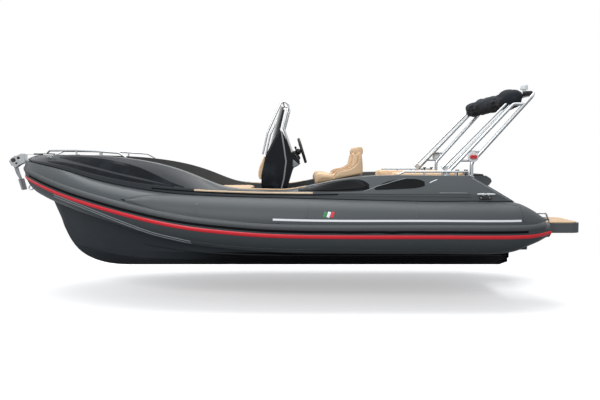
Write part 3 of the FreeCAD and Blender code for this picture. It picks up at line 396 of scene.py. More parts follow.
# Black for the groove along the belt and for the painted shadow under the coaming.
groove_and_shadow_black = Finish("groove_and_shadow_black", (7, 9, 12), Roughness=0.7, Specular_IOR_Level=0.1)
groove_and_shadow_black.grain(90.0, 0.0004)
# Two line finishes painted for light: a pale one for highlights along edges and rims, a dark one
# for shade in creases and grooves.
highlight_line = Finish("border_line", (140, 146, 150), Roughness=0.35).grain(80.0, 0.0003)
crease_shade = Finish("painted_crease_shade", (50, 54, 57), Roughness=0.4).grain(80.0, 0.0003)


def course(node, places, window, measure):
    """A measure of a long node at places along X, each taken of the points within a window."""
    points = read(cad[node].data)
    near = [points[np.abs(points[:, 0] - x) < window] for x in places]
    found = np.array([measure(some) if len(some) else np.nan for some in near])
    good = ~np.isnan(found)
    return np.interp(places, places[good], found[good])


belt = faces_of("flank_moulding_port", "flank_moulding_starboard")
stripe_places = np.linspace(-2.98, 2.22, 40)
stripe_heights = course("red_stripes", stripe_places, 0.045,
                        lambda near: near[:, 2].min() + np.ptp(near[:, 2]) * 0.5)
groove_route = np.stack([stripe_places, stripe_heights + 0.049], 1)
border_fore = [(-2.60, 0.452), (-2.191, 0.338), (-1.803, 0.208), (-1.489, 0.103), (-1.238, 0.045),
               (-1.078, 0.010)]
border_aft = [(-1.078, 0.010), (-0.672, -0.036), (-0.198, -0.064), (0.493, -0.074),
              (1.184, -0.078), (2.00, -0.080)]
# Along the lower border: two painted highlight lines forward, two painted shade lines aft.
for side in sides:
    laid("belt_groove", groove_route, 0.026, 0.0016, belt, groove_and_shadow_black, side, 150)
    for line, rise in (("upper", 0.034), ("lower", 0.010)):
        for part, route, width, thick, finish in (("line_", border_fore, 0.011, 0.004, highlight_line),
                                                  ("edge_", border_aft, 0.007, 0.003, crease_shade)):
            laid("border_" + part + line, np.array(route) + (0, rise), width, thick, belt, finish,
                 side)

# The inflatable tubes: coated fabric in mid grey, welded from panels with dark tape over the seams,
# with a thin white line, a small tab of colour bars and pointed cones at the stern.
fabric = Finish("tube_fabric", Roughness=0.5, Specular_IOR_Level=0.35)
fabric.shade(fabric.noise(3.0) * 0.5, (74, 79, 82), (65, 70, 73))
fabric.grain(900.0, 0.0006, 2.0, 0.5)
dress(fabric, "tube_starboard", "tube_port", "tube_cones")
white_line = Finish("white_stripe", (232, 235, 238), Roughness=0.4).grain(200.0, 0.0002)
dress(white_line, "white_stripes")
tape = Finish("seam_tape", Roughness=0.6)
tape.mottle(30.0, (50, 54, 58), (60, 64, 68)).grain(500.0, 0.0004)
tubes = faces_of("tube_port", "tube_starboard", "tube_cones", "flank_moulding_port",
                 "flank_moulding_starboard")
tube_top = [(-1.720, 0.458), (-1.66, 0.478), (-1.60, 0.488), (-1.485, 0.499), (-1.30, 0.497),
            (-1.077, 0.489), (-0.70, 0.478), (-0.198, 0.464), (0.595, 0.446), (1.388, 0.428),
            (2.0, 0.415), (2.14, 0.40)]
tube_foot = [(-1.69, 0.444), (-1.66, 0.434), (-1.59, 0.412), (-1.461, 0.374), (-1.30, 0.335),
             (-1.150, 0.309), (-0.95, 0.283), (-0.751, 0.264), (-0.45, 0.246), (-0.192, 0.236)]
cone_seam = [(2.172, 0.245), (2.166, 0.30), (2.160, 0.36), (2.156, 0.395)]
tab_start, tab_pitch = 0.232, 0.036
bars = [(word, Finish("tab_" + word, tone, Roughness=0.4).grain(300.0, 0.0002))
        for word, tone in (("green", (36, 128, 74)), ("white", (228, 231, 233)),
                           ("red", (204, 40, 50)))]
for side in sides:
    laid("tube_seam_top", tube_top, 0.009, 0.0018, tubes, tape, side)
    laid("tube_seam_foot", tube_foot, 0.008, 0.0018, tubes, tape, side)
    for index, x in enumerate((-1.02, 0.06, 1.14)):
        laid("tube_joint_%d" % index, [(x, 0.262), (x + 0.004, 0.34), (x + 0.008, 0.425)], 0.030,
             0.0010, tubes, fabric, side, 14)
    laid("cone_seam", cone_seam, 0.012, 0.0018, tubes, tape, side, 14)
    for index, (colour, bar_finish) in enumerate(bars):
        x = tab_start + tab_pitch * index
        laid("tab_" + colour, [(x, 0.292), (x + 0.010, 0.318), (x + 0.020, 0.344)], 0.030, 0.0012,
             tubes, bar_finish, side)

# The side decks: grey mouldings with a rolled coaming, glossy black panels let into the flare and
# beside the seats, a dark recess in each quarter and thin lines along their joints and edges: a
# painted shadow under the coaming, painted shade in its crease and lip, and painted highlights.
moulding = Finish("deck_gelcoat", Specular_IOR_Level=0.35)
# Painted shade: the mouldings' colour is darker forward, where the fore deck and the far coaming's
# inner face lie in shade, and lighter aft.
less_shade_aft = (moulding.axis(0) + moulding.noise(1.2, 2.0) * 0.4).step(-1.2, 1.2)
moulding.shade(less_shade_aft, (46, 50, 54), (84, 89, 92)).wear(8.0, 0.14, 0.24).grain(3.0, 0.0012, 1.0)
dress(moulding, "side_deck_starboard", "side_deck_port", "stern_moulding", "bow_deck",
      "swim_platform_starboard", "swim_platform_port", "stern_backrest", "bow_locker",
      "helm_seat_base", "sofa_base", "transom_board")
black = Finish("black_acrylic", Specular_IOR_Level=0.16)
# Its lighter patches are painted reflections as well as uneven tone.
black.shade(black.noise(5.0).step(0.45, 0.7), (16, 20, 25), (34, 40, 47)).wear(12.0, 0.06, 0.07)
dress(black, "glossy_panels", "console_shell", "console_dash", "bow_step")
dark = Finish("recess_dark", (7, 9, 12), Roughness=0.4, Specular_IOR_Level=0.15)
dark.grain(50.0, 0.0004)
dress(dark, "quarter_panels")
decks = faces_of("side_deck_port", "side_deck_starboard", "quarter_panels")
# Thin lines painted for light: shadow under the coaming, shade in the crease and on the lip,
# highlights on the recess rim and the quarter lip; the tick is a pale rail end.
deck_lines = (
    ("coaming_shadow", 0.014, 0.0012, groove_and_shadow_black,
     [(-1.50, 0.562), (-1.12, 0.535), (-0.713, 0.515), (-0.407, 0.504), (-0.10, 0.500),
      (0.153, 0.4995), (0.38, 0.503)]),
    ("coaming_crease", 0.008, 0.0012, crease_shade,
     [(0.38, 0.510), (0.80, 0.508), (1.30, 0.506), (1.70, 0.503)]),
    ("coaming_lip", 0.007, 0.002, crease_shade, [(0.129, 0.484), (1.391, 0.480), (1.70, 0.477)]),
    ("recess_rim", 0.007, 0.003, highlight_line,
     [(0.635, 0.535), (0.700, 0.556), (0.747, 0.576), (0.800, 0.594), (0.870, 0.612),
      (0.960, 0.640), (1.06, 0.662)]),
    ("quarter_lip", 0.006, 0.002, highlight_line, [(1.391, 0.519), (1.53, 0.519), (1.67, 0.517)]),
    ("quarter_tick", 0.009, 0.0022, white_line, [(1.296, 0.618), (1.33, 0.634), (1.372, 0.650)]))
for side in sides:
    for name, width, rise, finish, route in deck_lines:
        laid(name, route, width, rise, decks, finish, side)


def patch(name, foot_route, top_route, rise, on, finish, side, across=18, sink=0.003, growth=0.004,
          smoothings=8):
    """Thin panel between two routes in X and Z. Each of its places goes straight in along Y to the
    face, whose hollows are filled up to a growth and whose waves are smoothed. The outer skin
    stands rise off that and rounds down to it at the rim, and the inner skin is sunk."""
    count = points_along(foot_route, 0.018)
    foot, top = finely(foot_route, count), finely(top_route, count)
    share = np.linspace(0, 1, across)[None, :, None]
    flat = foot[:, None] * (1 - share) + top[:, None] * share
    hits = [struck(on, side, x, z) for x, z in flat.reshape(-1, 2)]
    depth = np.array([h[0].y if h[0] else np.nan for h in hits]).reshape(count, across)
    for sheet in (depth, depth.T):
        for line_here in sheet:
            bad = np.isnan(line_here)
            if bad.any() and not bad.all():
                line_here[bad] = np.interp(np.flatnonzero(bad), np.flatnonzero(~bad),
                                           line_here[~bad])
    depth = depth * side
    for shift, axis in ((1, 0), (-1, 0), (1, 1), (-1, 1)):
        depth = np.maximum(depth, np.clip(np.roll(depth, shift, axis), None, depth + growth))
    for smoothing in range(smoothings):
        depth[1:-1] = (depth[:-2] + 2 * depth[1:-1] + depth[2:]) / 4
        depth[:, 1:-1] = (depth[:, :-2] + 2 * depth[:, 1:-1] + depth[:, 2:]) / 4
    depth = depth * side
    rim = np.minimum(1, 9 * np.minimum(share[0, :, 0], 1 - share[0, :, 0]))[None, :]
    ends = np.minimum(1, np.minimum(np.arange(count), np.arange(count)[::-1]) / 2.0)[:, None]
    outer = np.stack([flat[..., 0], depth + side * rise * (rim * ends) ** 0.5, flat[..., 1]], -1)
    inner = np.stack([flat[..., 0], depth - side * sink, flat[..., 1]], -1)
    name += "_" + sides[side]
    return add_piece(name, skin(name, np.concatenate([outer, inner[:, ::-1]], 1)), finish)


panel_skin = faces_of("side_deck_port", "side_deck_starboard", "glossy_panels")
side_panel_foot = [(-0.015, 0.545), (0.10, 0.542), (0.25, 0.542), (0.42, 0.545), (0.56, 0.552),
                   (0.66, 0.566)]
side_panel_top = [(-0.005, 0.549), (0.14, 0.572), (0.30, 0.616), (0.46, 0.648), (0.58, 0.642),
                  (0.675, 0.576)]
# Each side also gets a painted highlight along the quarter's slanted edge.
for side in sides:
    patch("side_panel", side_panel_foot, side_panel_top, 0.0045, panel_skin, dark, side)
    laid("quarter_edge", [(1.728, 0.664), (1.86, 0.584), (2.02, 0.488), (2.14, 0.415)], 0.007,
         0.0025, decks, highlight_line, side)

# Teak and deck foam: oiled planks with black caulking on the gunwales and platforms, and
# closed-cell foam sheet, milled with grooves, on the cockpit floor.


def stripes(finish, scale, low, high):
    """Share that is 1 in narrow seams, evenly spaced across Y."""
    return finish.node("ShaderNodeTexWave", {0: finish.place((0.4, 1, 0.4)), "Scale": scale,
                                             "Distortion": 0.0, "Detail": 0.0},
                       bands_direction="Y", out=1).step(low, high)


teak = Finish("teak")
seam = stripes(teak, 5.7, 0.975, 0.99)
wood = teak.tint(teak.noise(30.0, 4.0, teak.place((0.15, 2, 1))), (204, 168, 128), (226, 197, 160))
teak.shade(seam, wood, (40, 34, 30)).wear(50.0, 0.2, 0.5)
fibres = teak.noise(240.0, 3.0, teak.place((0.1, 1, 1)))
teak.bump(seam * -1.0 + fibres * 0.2, 0.0012, 0.6)
dress(teak, "platform_teak", "gunwale_strips")
nosing = Finish("teak_nosing", Roughness=0.55)
nosing.shade(nosing.noise(40.0, 3.0, nosing.place((0.2, 1, 1))), (222, 194, 160), (238, 217, 190))
nosing.bump(nosing.noise(240.0, 3.0, nosing.place((0.1, 1, 1))), 0.0005, 0.6)
nosing_route = [(-1.06, 0.546), (-0.814, 0.536), (-0.407, 0.524), (-0.10, 0.520), (0.13, 0.518)]
for side in sides:
    laid("gunwale_nosing", nosing_route, 0.018, 0.003, decks, nosing, side)
foam = Finish("deck_foam", Roughness=0.8)
milled = stripes(foam, 5.2, 0.93, 0.97)
foam.shade(milled, (72, 75, 78), (24, 26, 28))
foam.bump(milled * -1.0 + foam.noise(500.0) * 0.25, 0.0015, 0.7)
dress(foam, "cockpit_floor")

# The metalwork: polished stainless tube bent to shape, with cleats, rollers and rails bolted on
# through round flanges; the anchor is galvanised and the lock knobs are moulded in black.
steel = Finish("stainless", (190, 194, 197), Metallic=0.95).wear(40.0, 0.08, 0.2)
dress(steel, "roll_bar", "bimini_frame", "bimini_hinges", "bow_rails", "stern_rails",
      "grab_handles", "windscreen_rail", "bow_eye", "bow_roller")
polished = Finish("polished_cleat", (216, 219, 221), Roughness=0.38, Metallic=0.4)
dress(polished.grain(60.0, 0.0002), "deck_cleats")
galvanised = Finish("galvanised", Roughness=0.5, Metallic=0.7)
galvanised.mottle(35.0, (120, 124, 128), (156, 160, 163)).grain(120.0, 0.0005)
dress(galvanised, "anchor")
plastic = Finish("black_plastic", (24, 26, 29), Roughness=0.45).grain(350.0, 0.0004)
dress(plastic, "lock_knobs")


def full_turn(count):
    """Angles evenly round a full turn."""
    return np.linspace(0, 2 * np.pi, count, endpoint=False)


def square_to(up, along=(1, 0, 0)):
    """Three unit vectors square to each other: along, across and up."""
    up = np.array(up, float) / np.linalg.norm(up)
    along = np.array(along, float)
    along = along - up * along.dot(up)
    along /= np.linalg.norm(along)
    return along, np.cross(up, along), up


def plate(name, at, size, finish, up=(0, 0, 1), along=(1, 0, 0), corner=8.0, lip=0.003, dome=0.0,
          body="boat"):
    """Moulded boss: a superellipse |x/a|^n + |y/b|^n = 1 carried up by its thickness, its upper rim
    rounded by lip and its middle raised by dome. Its foot is at the place given."""
    along, across, up = square_to(up, along)
    a, b, thick = size[0] / 2, size[1] / 2, size[2]
    turn = full_turn(56)
    c, s = np.cos(turn), np.sin(turn)
    ring = np.stack([np.sign(c) * np.abs(c) ** (2 / corner),
                     np.sign(s) * np.abs(s) ** (2 / corner)], 1)
    most = min(a, b) - lip
    layers = [(0, 0), (0, thick - lip), (lip * 0.3, thick - lip * 0.3), (lip, thick)]
    layers += [(lip + most * share, thick + dome * (1 - (1 - share) ** 2))
               for share in (0.3, 0.6, 0.85, 0.97)]
    grid = np.array([np.array(at, float) + along * (ring[:, :1] * (a - inset))
                     + across * (ring[:, 1:] * (b - inset)) + up * rise for inset, rise in layers])
    return add_piece(name, skin(name, grid), finish, body)


def studs(name, places, up, finish, radius=0.006, rise=0.003):
    """Pan heads of bolts at a list of places: a quarter ellipse turned about each axis."""
    along, across, up = square_to(up, (0.3, 0.9, 0.1) if abs(up[0]) > 0.9 else (1, 0.1, 0))
    turn = full_turn(12)
    arc = np.linspace(0, np.pi / 2 * 0.97, 5)
    out = np.concatenate([[1.0], np.cos(arc)])
    lift = np.concatenate([[-0.4], np.sin(arc)])
    ring = along * np.cos(turn)[:, None] + across * np.sin(turn)[:, None]
    head = ring[None] * out[:, None, None] * radius + up * lift[:, None, None] * rise
    rows, columns = head.shape[:2]
    faces = [[index * rows * columns + corner for corner in face]
             for index in range(len(places)) for face in ring_faces(rows, columns)]
    heads = head[None] + np.array(places, float)[:, None, None]
    return add_piece(name, skin(name, heads, faces=faces), finish)


def sweep(name, path, radius, finish, facets=10, closed=False, body="boat"):
    """Round bar along a path: a circle in the plane square to the path at each point."""
    path = np.array(path, float)
    ahead = np.roll(path, -1, 0) - np.roll(path, 1, 0)
    if not closed:
        ahead[0], ahead[-1] = path[1] - path[0], path[-1] - path[-2]
    ahead /= np.linalg.norm(ahead, axis=1, keepdims=True)
    guide = (0.31, 0.23, 0.92) if abs(ahead[:, 2]).mean() < 0.7 else (0.94, 0.3, 0.1)
    out = np.cross(ahead, guide)
    out /= np.linalg.norm(out, axis=1, keepdims=True)
    up = np.cross(out, ahead)
    turn = full_turn(facets)[None, :, None]
    ring = out[:, None] * np.cos(turn) + up[:, None] * np.sin(turn)
    grid = path[:, None] + ring * np.reshape(radius, (-1, 1, 1))
    if closed:
        grid = np.concatenate([grid, grid[:1]])
    return add_piece(name, skin(name, grid, lids=not closed), finish, body)


deck_top = faces_of("side_deck_port", "side_deck_starboard")
bar_foot_y = 0.888
flange_thick = 0.006
bolt_circle = 0.0265
turn = 0.79 + full_turn(4)
bolt_ring = np.stack([np.cos(turn), np.sin(turn), turn * 0], 1) * bolt_circle
for side, word in sides.items():
    for index, (name, x, size) in enumerate((("brace_flange_", 1.488, (0.074, 0.062)),
                                             ("roll_bar_flange_", 1.737, (0.078, 0.064)))):
        hit = deck_top.ray_cast(Vector((x, side * bar_foot_y, 1.5)), Vector((0, 0, -1)))
        at, up = np.array(hit[0]), np.array(hit[1])
        plate(name + word, at, (*size, flange_thick), steel, up, corner=2.4, lip=0.002)
        studs("flange_bolts_%d_%s" % (index, word), at + bolt_ring + up * flange_thick, up, steel,
              0.0042, 0.0025)

# The console: a black moulding with a bright bead up each side, a sloping dash with a chart screen,
# two dials and switches, a smoked screen within a bent rail, and a leather wheel on its column.
trim = Finish("console_trim", (122, 126, 130), Roughness=0.3, Metallic=0.5).grain(90.0, 0.0003)
dress(trim, "console_trim")
glass = Finish("smoked_acrylic", Roughness=0.04, IOR=1.45, Transmission_Weight=0.8)
glass.shade(glass.axis(2).step(1.0, 1.3), (92, 98, 104), (24, 29, 35))
dress(glass, "windscreen")
dash_top, dash_foot = np.array((-0.101, 0, 0.967)), np.array((0.005, 0, 0.803))
dash_way = (dash_foot - dash_top) / np.linalg.norm(dash_foot - dash_top)
dash_out = np.array((-dash_way[2], 0, dash_way[0]))


def on_dash(share, y, proud=0.0):
    """Place on the sloping dash, share of the way down from its top."""
    return dash_top + (dash_foot - dash_top) * share + (0, y, 0) + dash_out * proud


def dash_plate(name, share, y, proud, size, finish, corner, lip):
    plate(name, on_dash(share, y, proud), size, finish, dash_out, dash_way, corner, lip)


bezel = Finish("dial_bezel", (150, 154, 158), Roughness=0.25, Metallic=0.9).grain(200.0, 0.0002)
dial_face = Finish("dial_face", Roughness=0.2).mottle(60.0, (10, 11, 13), (18, 20, 23))
screen_face = Finish("chart_screen", Roughness=0.08)
screen_face.shade(screen_face.noise(7.0, 1.0), (8, 11, 16), (14, 20, 28))
pointer = Finish("dial_pointer", (226, 120, 40), Roughness=0.4).grain(200.0, 0.0002)
screen_y = -0.135
dash_plate("chart_screen_case", 0.50, screen_y, 0, (0.150, 0.225, 0.010), plastic, 7, 0.004)
dash_plate("chart_screen_glass", 0.50, screen_y, 0.0102, (0.112, 0.190, 0.0015), screen_face, 14,
           0.0006)
for index, y in enumerate((0.075, 0.225)):
    dash_plate("dial_bezel_%d" % index, 0.20, y, 0, (0.062, 0.062, 0.008), bezel, 2, 0.003)
    dash_plate("dial_face_%d" % index, 0.20, y, 0.0081, (0.050, 0.050, 0.0010), dial_face, 2,
               0.0004)
    sweep("dial_pointer_%d" % index,
          [on_dash(0.20, y, 0.0098), on_dash(0.155, y + 0.009, 0.0098),
           on_dash(0.115, y + 0.017, 0.0098)], (0.0011, 0.0008, 0.0004), pointer, 8)
dash_plate("switch_panel", 0.80, -0.07, 0, (0.044, 0.26, 0.004), plastic, 8, 0.0015)
for index in range(6):
    plate("switch_%d" % index, on_dash(0.80, -0.175 + 0.042 * index, 0.0042),
          (0.026, 0.015, 0.006), dial_face, dash_out + dash_way * (0.15 if index % 2 else -0.15),
          dash_way, 6, 0.002, 0.001)
plate("throttle_base", (-0.035, 0.312, 0.868), (0.075, 0.075, 0.014), plastic, (0, 1, 0), dash_way,
      2.4, 0.004)
throttle = finely([(-0.035, 0.326, 0.868), (-0.038, 0.340, 0.905), (-0.046, 0.338, 0.955),
                   (-0.052, 0.318, 0.985), (-0.054, 0.285, 0.992)], 24)
sweep("throttle_lever", throttle, np.interp(np.linspace(0, 1, 24), [0, 0.6, 0.78, 0.9, 1],
                                            [0.010, 0.008, 0.011, 0.015, 0.010]), plastic, 14)
dash_sides = faces_of("console_dash", "console_shell")
cheek_foot = [(-0.082, 0.768), (-0.060, 0.762), (-0.030, 0.776), (-0.008, 0.790)]
cheek_top = [(-0.080, 0.850), (-0.062, 0.838), (-0.034, 0.815), (-0.010, 0.797)]
for side in sides:
    patch("dash_cheek", cheek_foot, cheek_top, 0.003, dash_sides, trim, side, 10)
plate("console_aft_door", (-0.1565, 0, 0.36), (0.38, 0.42, 0.006), black, (1, 0, 0), (0, 0, 1), 8,
      0.002)
plate("console_door_latch", (-0.1500, 0.16, 0.40), (0.036, 0.036, 0.004), bezel, (1, 0, 0),
      (0, 0, 1), 3, 0.0015)
plate("console_foot_rim", (-0.302, 0, 0.1155), (0.296, 0.650, 0.012), trim, corner=12, lip=0.004)

hub = np.array((0.024, 0.15, 0.953))
athwart = np.array((0, 1, 0))
wheel_axis = np.array((0.9563048, 0, 0.2923717))
wheel_up = np.cross(wheel_axis, athwart) * -1
grip_circle = 0.1355
turn = full_turn(28)[:, None]
column_ring = athwart * np.cos(turn) + wheel_up * np.sin(turn)
column_shape = np.array([(-0.075, 0.026), (-0.066, 0.034), (-0.050, 0.038), (-0.034, 0.035),
                         (-0.022, 0.026), (-0.016, 0.018), (-0.013, 0.014)])
column = (hub + wheel_axis * column_shape[:, :1, None]
          + column_ring[None] * column_shape[:, 1:, None])
add_piece("wheel_column", skin("wheel_column", column), plastic)
leather = Finish("wheel_leather", (22, 23, 25)).wear(80.0, 0.2, 0.4)
leather.bump(leather.node("ShaderNodeTexVoronoi", {0: leather.place(), "Scale": 700.0}), 0.0004,
             0.5)
turn = full_turn(120)
circle = athwart * np.sin(turn)[:, None] + wheel_up * np.cos(turn)[:, None]
grip_radius = 0.0162 + 0.0012 * np.maximum(0, np.cos(turn * 3)) ** 4
grip = sweep("wheel_grip", hub + circle * grip_circle, grip_radius, leather, 18, True, "wheel")
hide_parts("steering_wheel")
cap = plate("wheel_hub", hub - wheel_axis * 0.004, (0.062, 0.062, 0.018), plastic, wheel_axis,
            wheel_up, 2.2, 0.005, 0.002, "wheel")
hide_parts("steering_wheel")
brushed = Finish("spoke_alloy", (92, 96, 100), Roughness=0.35, Metallic=0.9)
brushed.bump(brushed.noise(300.0, 2.0, brushed.place((0.1, 1, 1))), 0.0002)
out = np.linspace(0.022, 0.130, 24)
half = 0.013 - 0.005 * np.sin(np.linspace(0, np.pi, 24)) + 0.004 * np.linspace(0, 1, 24) ** 4
profile = np.array([(-1, 0.0), (-0.8, 0.0028), (0.8, 0.0028), (1, 0.0), (0.8, -0.0028),
                    (-0.8, -0.0028)])
for index, angle in enumerate((math.pi / 2, -math.pi / 2, math.pi)):
    name = "wheel_spoke_%d" % index
    way = wheel_up * math.cos(angle) + athwart * math.sin(angle)
    beside = np.cross(wheel_axis, way)
    spoke = (hub + wheel_axis * 0.004 + way * out[:, None, None]
             + beside * profile[None, :, :1] * half[:, None, None]
             + wheel_axis * profile[None, :, 1:])
    part = add_piece(name, skin(name, spoke), brushed, "wheel")
    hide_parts("steering_wheel")

# The cushions: foam cut to shape under beige marine vinyl, sewn with piped edges. Each is cut as a
# block, softened, and then blown up a little by a short cloth run, so that it crowns between seams.
vinyl = Finish("marine_vinyl")
vinyl_grain = vinyl.node("ShaderNodeTexVoronoi", {0: vinyl.place(), "Scale": 420.0})
vinyl.shade(vinyl.noise(2.5, 2.0), (222, 192, 156), (206, 173, 136)).wear(60.0, 0.15, 0.42)
vinyl.bump(vinyl_grain, 0.0007, 0.35)
piped = Finish("vinyl_piping", (176, 140, 104), Roughness=0.45).grain(300.0, 0.0004, 3.0, 0.4)


def block(name, outline, start, end, axis):
    """Closed block: an outline carried along one axis, 1 for Y and 2 for Z, from start to end."""
    outline = np.array(outline, float)
    ends = np.zeros((2, len(outline), 3))
    ends[:, :, 0] = outline[:, 0]
    ends[:, :, 3 - axis] = outline[:, 1]
    ends[:, :, axis] = np.array((start, end))[:, None]
    return skin(name, ends)


def applied(piece):
    """The piece's mesh with its modifiers worked in."""
    graph = bpy.context.evaluated_depsgraph_get()
    graph.update()
    mesh = bpy.data.meshes.new_from_object(piece.evaluated_get(graph))
    piece.modifiers.clear()
    piece.data = mesh
    return mesh


cloth_frames = 16
seam_reach = 0.006


def stuffed(name, outline, start, end, axis, finish=vinyl, voxel=0.008, soften=8, cap=0.012,
            seams=None, pull=0.004, fill=0.7):
    """Pad cut as a block, softened, blown up by cloth no further than cap, then pulled in along its
    seams. seams gives each point's distance from the nearest one, and pull is the seam's depth."""
    piece = add_piece(name, block(name, outline, start, end, axis), finish)
    remesh = piece.modifiers.new("voxels", "REMESH")
    remesh.mode = "VOXEL"
    remesh.voxel_size = voxel
    applied(piece)
    soft = piece.modifiers.new("soften", "SMOOTH")
    soft.factor = 0.5
    soft.iterations = soften
    mesh = applied(piece)
    places = read(mesh)
    sewn = piece.modifiers.new("cloth", "CLOTH")
    sewn.settings.use_pressure = True
    sewn.settings.uniform_pressure_force = 4
    sewn.settings.effector_weights.gravity = 0
    sewn.settings.quality = 4
    for step in range(1, cloth_frames + 1):
        scene.frame_set(step)
    mesh = applied(piece)
    scene.frame_set(1)
    moved = read(mesh) - places
    far = np.linalg.norm(moved, axis=1, keepdims=True)
    places = places + moved * np.minimum(1, cap / np.maximum(far, 1e-9))
    if seams:
        away = seams(places)[:, None]
        places = places - read(mesh, "normal") * pull * np.exp(-(away / seam_reach) ** 2)
    mesh.vertices.foreach_set("co", places.astype(np.float32).ravel())
    mesh.update()
    mesh.shade_smooth()
    mesh.materials.clear()
    mesh.materials.append(finish.material)
    return piece


# The helm seats: two bucket seats on one sloping moulding, each with a squab, a cushion, two wings
# with piped upper edges, a channelled back and a headrest.
seat_middle = 0.335
seat_half = 0.232
squab = [(0.160, 0.592), (0.157, 0.640), (0.164, 0.690), (0.200, 0.702), (0.280, 0.694),
         (0.352, 0.676), (0.352, 0.632), (0.260, 0.613)]
wing = [(0.345, 0.632), (0.356, 0.668), (0.380, 0.706), (0.414, 0.730), (0.468, 0.745),
        (0.520, 0.760), (0.560, 0.782), (0.592, 0.812), (0.612, 0.846), (0.620, 0.890),
        (0.662, 0.892), (0.668, 0.860), (0.668, 0.700), (0.660, 0.694), (0.500, 0.662)]
cushion = [(0.340, 0.640), (0.340, 0.680), (0.420, 0.690), (0.520, 0.704), (0.566, 0.716),
           (0.572, 0.690), (0.520, 0.672)]
back = [(0.566, 0.690), (0.578, 0.780), (0.600, 0.870), (0.612, 0.925), (0.640, 0.930),
        (0.656, 0.900), (0.660, 0.800), (0.656, 0.700)]
rest = [(0.606, 0.900), (0.600, 0.945), (0.612, 0.982), (0.640, 0.990), (0.672, 0.980),
        (0.680, 0.945), (0.674, 0.905), (0.640, 0.896)]


def seams_at(axis, places):
    """Distance along one axis from the nearest of some seams."""
    places = np.array(places)
    return lambda points: np.abs(points[:, axis:axis + 1] - places[None, :]).min(1)


def channels(middle, spacing, count):
    """Distance in Y from the nearest of some evenly spaced seams."""
    return seams_at(1, middle + spacing * (np.arange(count) - (count - 1) / 2))


def laid_on(pad, points, lift):
    """Points moved to the nearest place on a pad, and lifted off it."""
    tree = BVHTree.FromObject(pad, bpy.context.evaluated_depsgraph_get())
    found = [tree.find_nearest(Vector(p)) for p in points]
    return np.array([np.array(f[0]) + np.array(f[1]) * lift for f in found])


for side, word in sides.items():
    middle = side * seat_middle
    name = "helm_seat_" + word
    pads = [stuffed(name + part, outline, middle - half, middle + half, 1, **sewn)
            for part, outline, half, sewn in (
                ("_squab", squab, seat_half, dict(cap=0.010)),
                ("_cushion", cushion, 0.165, dict(cap=0.008, seams=channels(middle, 0.11, 4))),
                ("_back", back, 0.165, dict(cap=0.010, seams=channels(middle, 0.082, 5),
                                            pull=0.007)),
                ("_headrest", rest, 0.125, dict(cap=0.010)))]
    for outer in (-1, 1):
        ends = sorted((middle + outer * 0.168, middle + outer * seat_half))
        end_word = "outer" if outer == side else "inner"
        pads.append(stuffed(name + "_wing_" + end_word, wing, *ends, 1, voxel=0.007, soften=6,
                            cap=0.008))
        top = finely(wing[1:11], 60)
        for edge, edge_word in zip(ends, ("near", "far")):
            route = np.stack([top[:, 0], np.full(60, edge), top[:, 1] + 0.004], 1)
            sweep("_".join((name, "piping", end_word, edge_word)),
                  laid_on(pads[-1], route, 0.001), 0.0035, piped)
    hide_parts(name)

# The other upholstery: the sun pad over the bow locker in sewn panels, the squabs and the padded
# back and arms of the stern seat, and the pad on the fore face of the console.
pad_low, pad_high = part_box("bow_sun_pad")
inset = 0.006
pad_x = read(cad["bow_sun_pad"].data)[:, 0]
places = np.linspace(pad_x.min(), pad_x.max(), 16)
half_wide = course("bow_sun_pad", places, 0.06, lambda near: np.abs(near[:, 1]).max()) - inset
places[0] += inset
places[-1] -= inset
plan = np.concatenate([np.stack([places, half_wide], 1), np.stack([places, -half_wide], 1)[::-1]])
sun_pad = stuffed("bow_sun_pad_cover", plan, pad_low.z, pad_high.z - 0.006, 2, voxel=0.012,
                  soften=5, cap=0.014, seams=seams_at(0, (-1.95, -1.40, -0.95)), pull=0.008)
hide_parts("bow_sun_pad")

squab_low, squab_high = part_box("sofa_seat")
for word, y0, y1 in (("port", squab_low.y, -0.003), ("starboard", 0.003, squab_high.y)):
    outline = [(squab_low.x, y0), (squab_high.x, y0), (squab_high.x, y1), (squab_low.x, y1)]
    half = stuffed("sofa_seat_" + word, outline, squab_low.z, squab_high.z - 0.004, 2, voxel=0.010,
                   soften=5, seams=seams_at(0, (squab_low.x + 0.16, squab_low.x + 0.40)))
    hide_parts("sofa_seat")

back_low, back_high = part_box("sofa_back")
arm_inner = 0.620
back_front = 1.560
top = back_high.z - 0.004
for word, x0, y0, y1, seams in (
        ("rear_pad", back_front + 0.003, -arm_inner + 0.004, arm_inner - 0.004,
         channels(0, 0.155, 9)),
        ("arm_port", back_low.x, back_low.y, -arm_inner, None),
        ("arm_starboard", back_low.x, arm_inner, back_high.y, None)):
    x1 = back_high.x
    outline = [(x0, back_low.z), (x0, top - 0.05), (x0 + 0.03, top), (x1 - 0.02, top),
               (x1, top - 0.04), (x1, back_low.z)]
    part = stuffed("sofa_" + word, outline, y0, y1, 1, voxel=0.010, soften=6, cap=0.010,
                   seams=seams)
    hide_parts("sofa_back")

knee_low, knee_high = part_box("console_cushion")
outline = [(knee_low.x + 0.012, knee_low.z), (knee_low.x, knee_low.z + 0.035),
           (knee_low.x, knee_low.z + 0.09), (knee_low.x + 0.014, knee_low.z + 0.145),
           (knee_high.x - 0.012, knee_high.z), (knee_high.x, knee_high.z - 0.01),
           (knee_low.x + 0.035, knee_low.z + 0.06), (knee_low.x + 0.030, knee_low.z)]
knee = stuffed("console_pad", outline, knee_low.y, knee_high.y, 1, voxel=0.005, soften=4, cap=0.004)
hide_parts("console_cushion")

